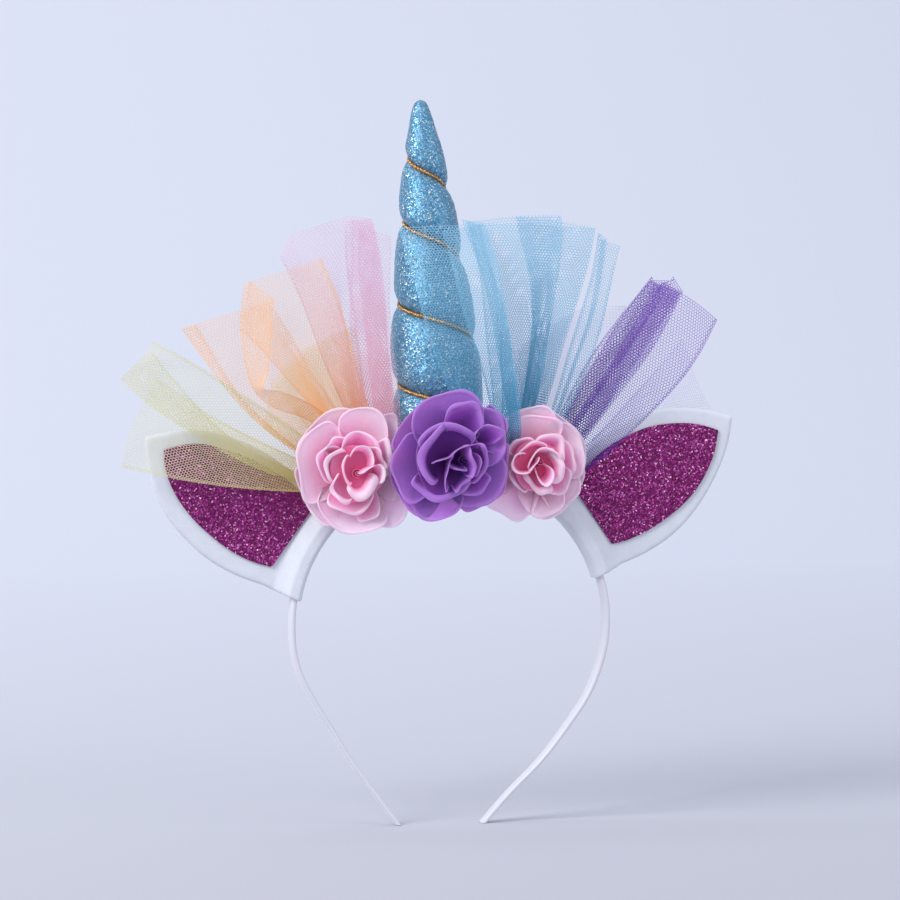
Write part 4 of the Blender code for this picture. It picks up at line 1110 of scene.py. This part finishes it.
# %% A curved sheet of paper
def select_edges(piece, wanted):
    """In edit mode, select the edges whose two ends both pass a test."""
    bpy.ops.object.mode_set(mode="EDIT")
    bpy.ops.mesh.select_mode(type="EDGE")
    bpy.ops.mesh.select_all(action="DESELECT")
    bpy.ops.object.mode_set(mode="OBJECT")
    for edge in piece.data.edges:
        edge.select = all(wanted(piece.data.vertices[index].co) for index in edge.vertices)
    bpy.ops.object.mode_set(mode="EDIT")


paper_width, paper_height, paper_curve = 6.0, 3.5, 1.6
bpy.ops.object.select_all(action="DESELECT")
bpy.ops.mesh.primitive_plane_add(size=paper_width, location=(0.0, 0.0, floor_z - 0.0002))
paper = bpy.context.object
paper.name = "studio_paper"
select_edges(paper, lambda place: place.y > 0)
bpy.ops.mesh.extrude_region_move(TRANSFORM_OT_translate={"value": (0.0, 0.0, paper_height)})
select_edges(paper, lambda place: place.y > 0 and abs(place.z) < 0.01)
bpy.ops.mesh.bevel(offset=paper_curve, segments=32, affect="EDGES")
bpy.ops.object.mode_set(mode="OBJECT")
bpy.ops.object.shade_smooth()
print("paper:", len(paper.data.polygons), "faces")

# %% Paper that is a little darker towards the front: painted shade for the light that falls off towards the camera
paper_finish, tree, shader = new_finish("studio_paper", (0.70, 0.72, 0.82), 0.9)
place = add_node(tree, "ShaderNodeTexCoord")
parts = add_node(tree, "ShaderNodeSeparateXYZ")
tree.links.new(place.outputs["Object"], parts.inputs["Vector"])
nearness = add_node(tree, "ShaderNodeMapRange")
nearness.inputs["From Min"].default_value = -0.4
nearness.inputs["From Max"].default_value = 1.4
tree.links.new(parts.outputs["Y"], nearness.inputs["Value"])
# painted shade: the paper is darker towards the front and lighter towards the back
painted_falloff = ramp_node(tree, [(0.0, (0.42, 0.43, 0.49)), (1.0, (0.75, 0.77, 0.86))])
tree.links.new(nearness.outputs["Result"], painted_falloff.inputs["Fac"])
tree.links.new(painted_falloff.outputs["Color"], shader.inputs["Base Color"])
paper.data.materials.append(paper_finish)
print("paper coloured")


# %% Light
def soft_lamp(name, place, aim, size, power, colour):
    """A square area lamp that points at a place."""
    light = bpy.data.lights.new(name, "AREA")
    light.energy = power
    light.size = size
    light.color = colour
    lamp = bpy.data.objects.new(name, light)
    lamp.location = place
    lamp.rotation_euler = (Vector(aim) - Vector(place)).to_track_quat("-Z", "Y").to_euler()
    bpy.context.scene.collection.objects.link(lamp)
    return lamp


soft_lamp("left_window", (-1.6, -1.0, 1.3), (0, 0, 0), 1.2, 42.0, (1.0, 0.99, 0.97))
soft_lamp("right_fill", (1.6, -1.4, 0.7), (0, 0, 0), 1.4, 10.0, (0.96, 0.97, 1.0))
soft_lamp("wall_wash", (-0.9, 0.6, 2.4), (-0.6, 3.0, 0.7), 1.6, 12.0, (0.97, 0.98, 1.0))
world = bpy.data.worlds.new("studio")
world.use_nodes = True
world.node_tree.nodes["Background"].inputs["Color"].default_value = (0.86, 0.90, 1.0, 1.0)
world.node_tree.nodes["Background"].inputs["Strength"].default_value = 0.75
bpy.context.scene.world = world
bpy.context.scene.view_settings.view_transform = "Standard"
print("three lamps and a pale sky")

# %% Camera
camera_data = bpy.data.cameras.new("camera")
camera = bpy.data.objects.new("camera", camera_data)
bpy.context.scene.collection.objects.link(camera)
camera.location = eye
camera.rotation_euler = sight_line.to_track_quat("-Z", "Y").to_euler()
camera_data.sensor_width = 36.0
camera_data.lens = camera_data.sensor_width * distance / picture_width
bpy.context.scene.camera = camera
print("lens: %.0f mm" % camera_data.lens)

# %% Update the scene
bpy.context.view_layer.update()
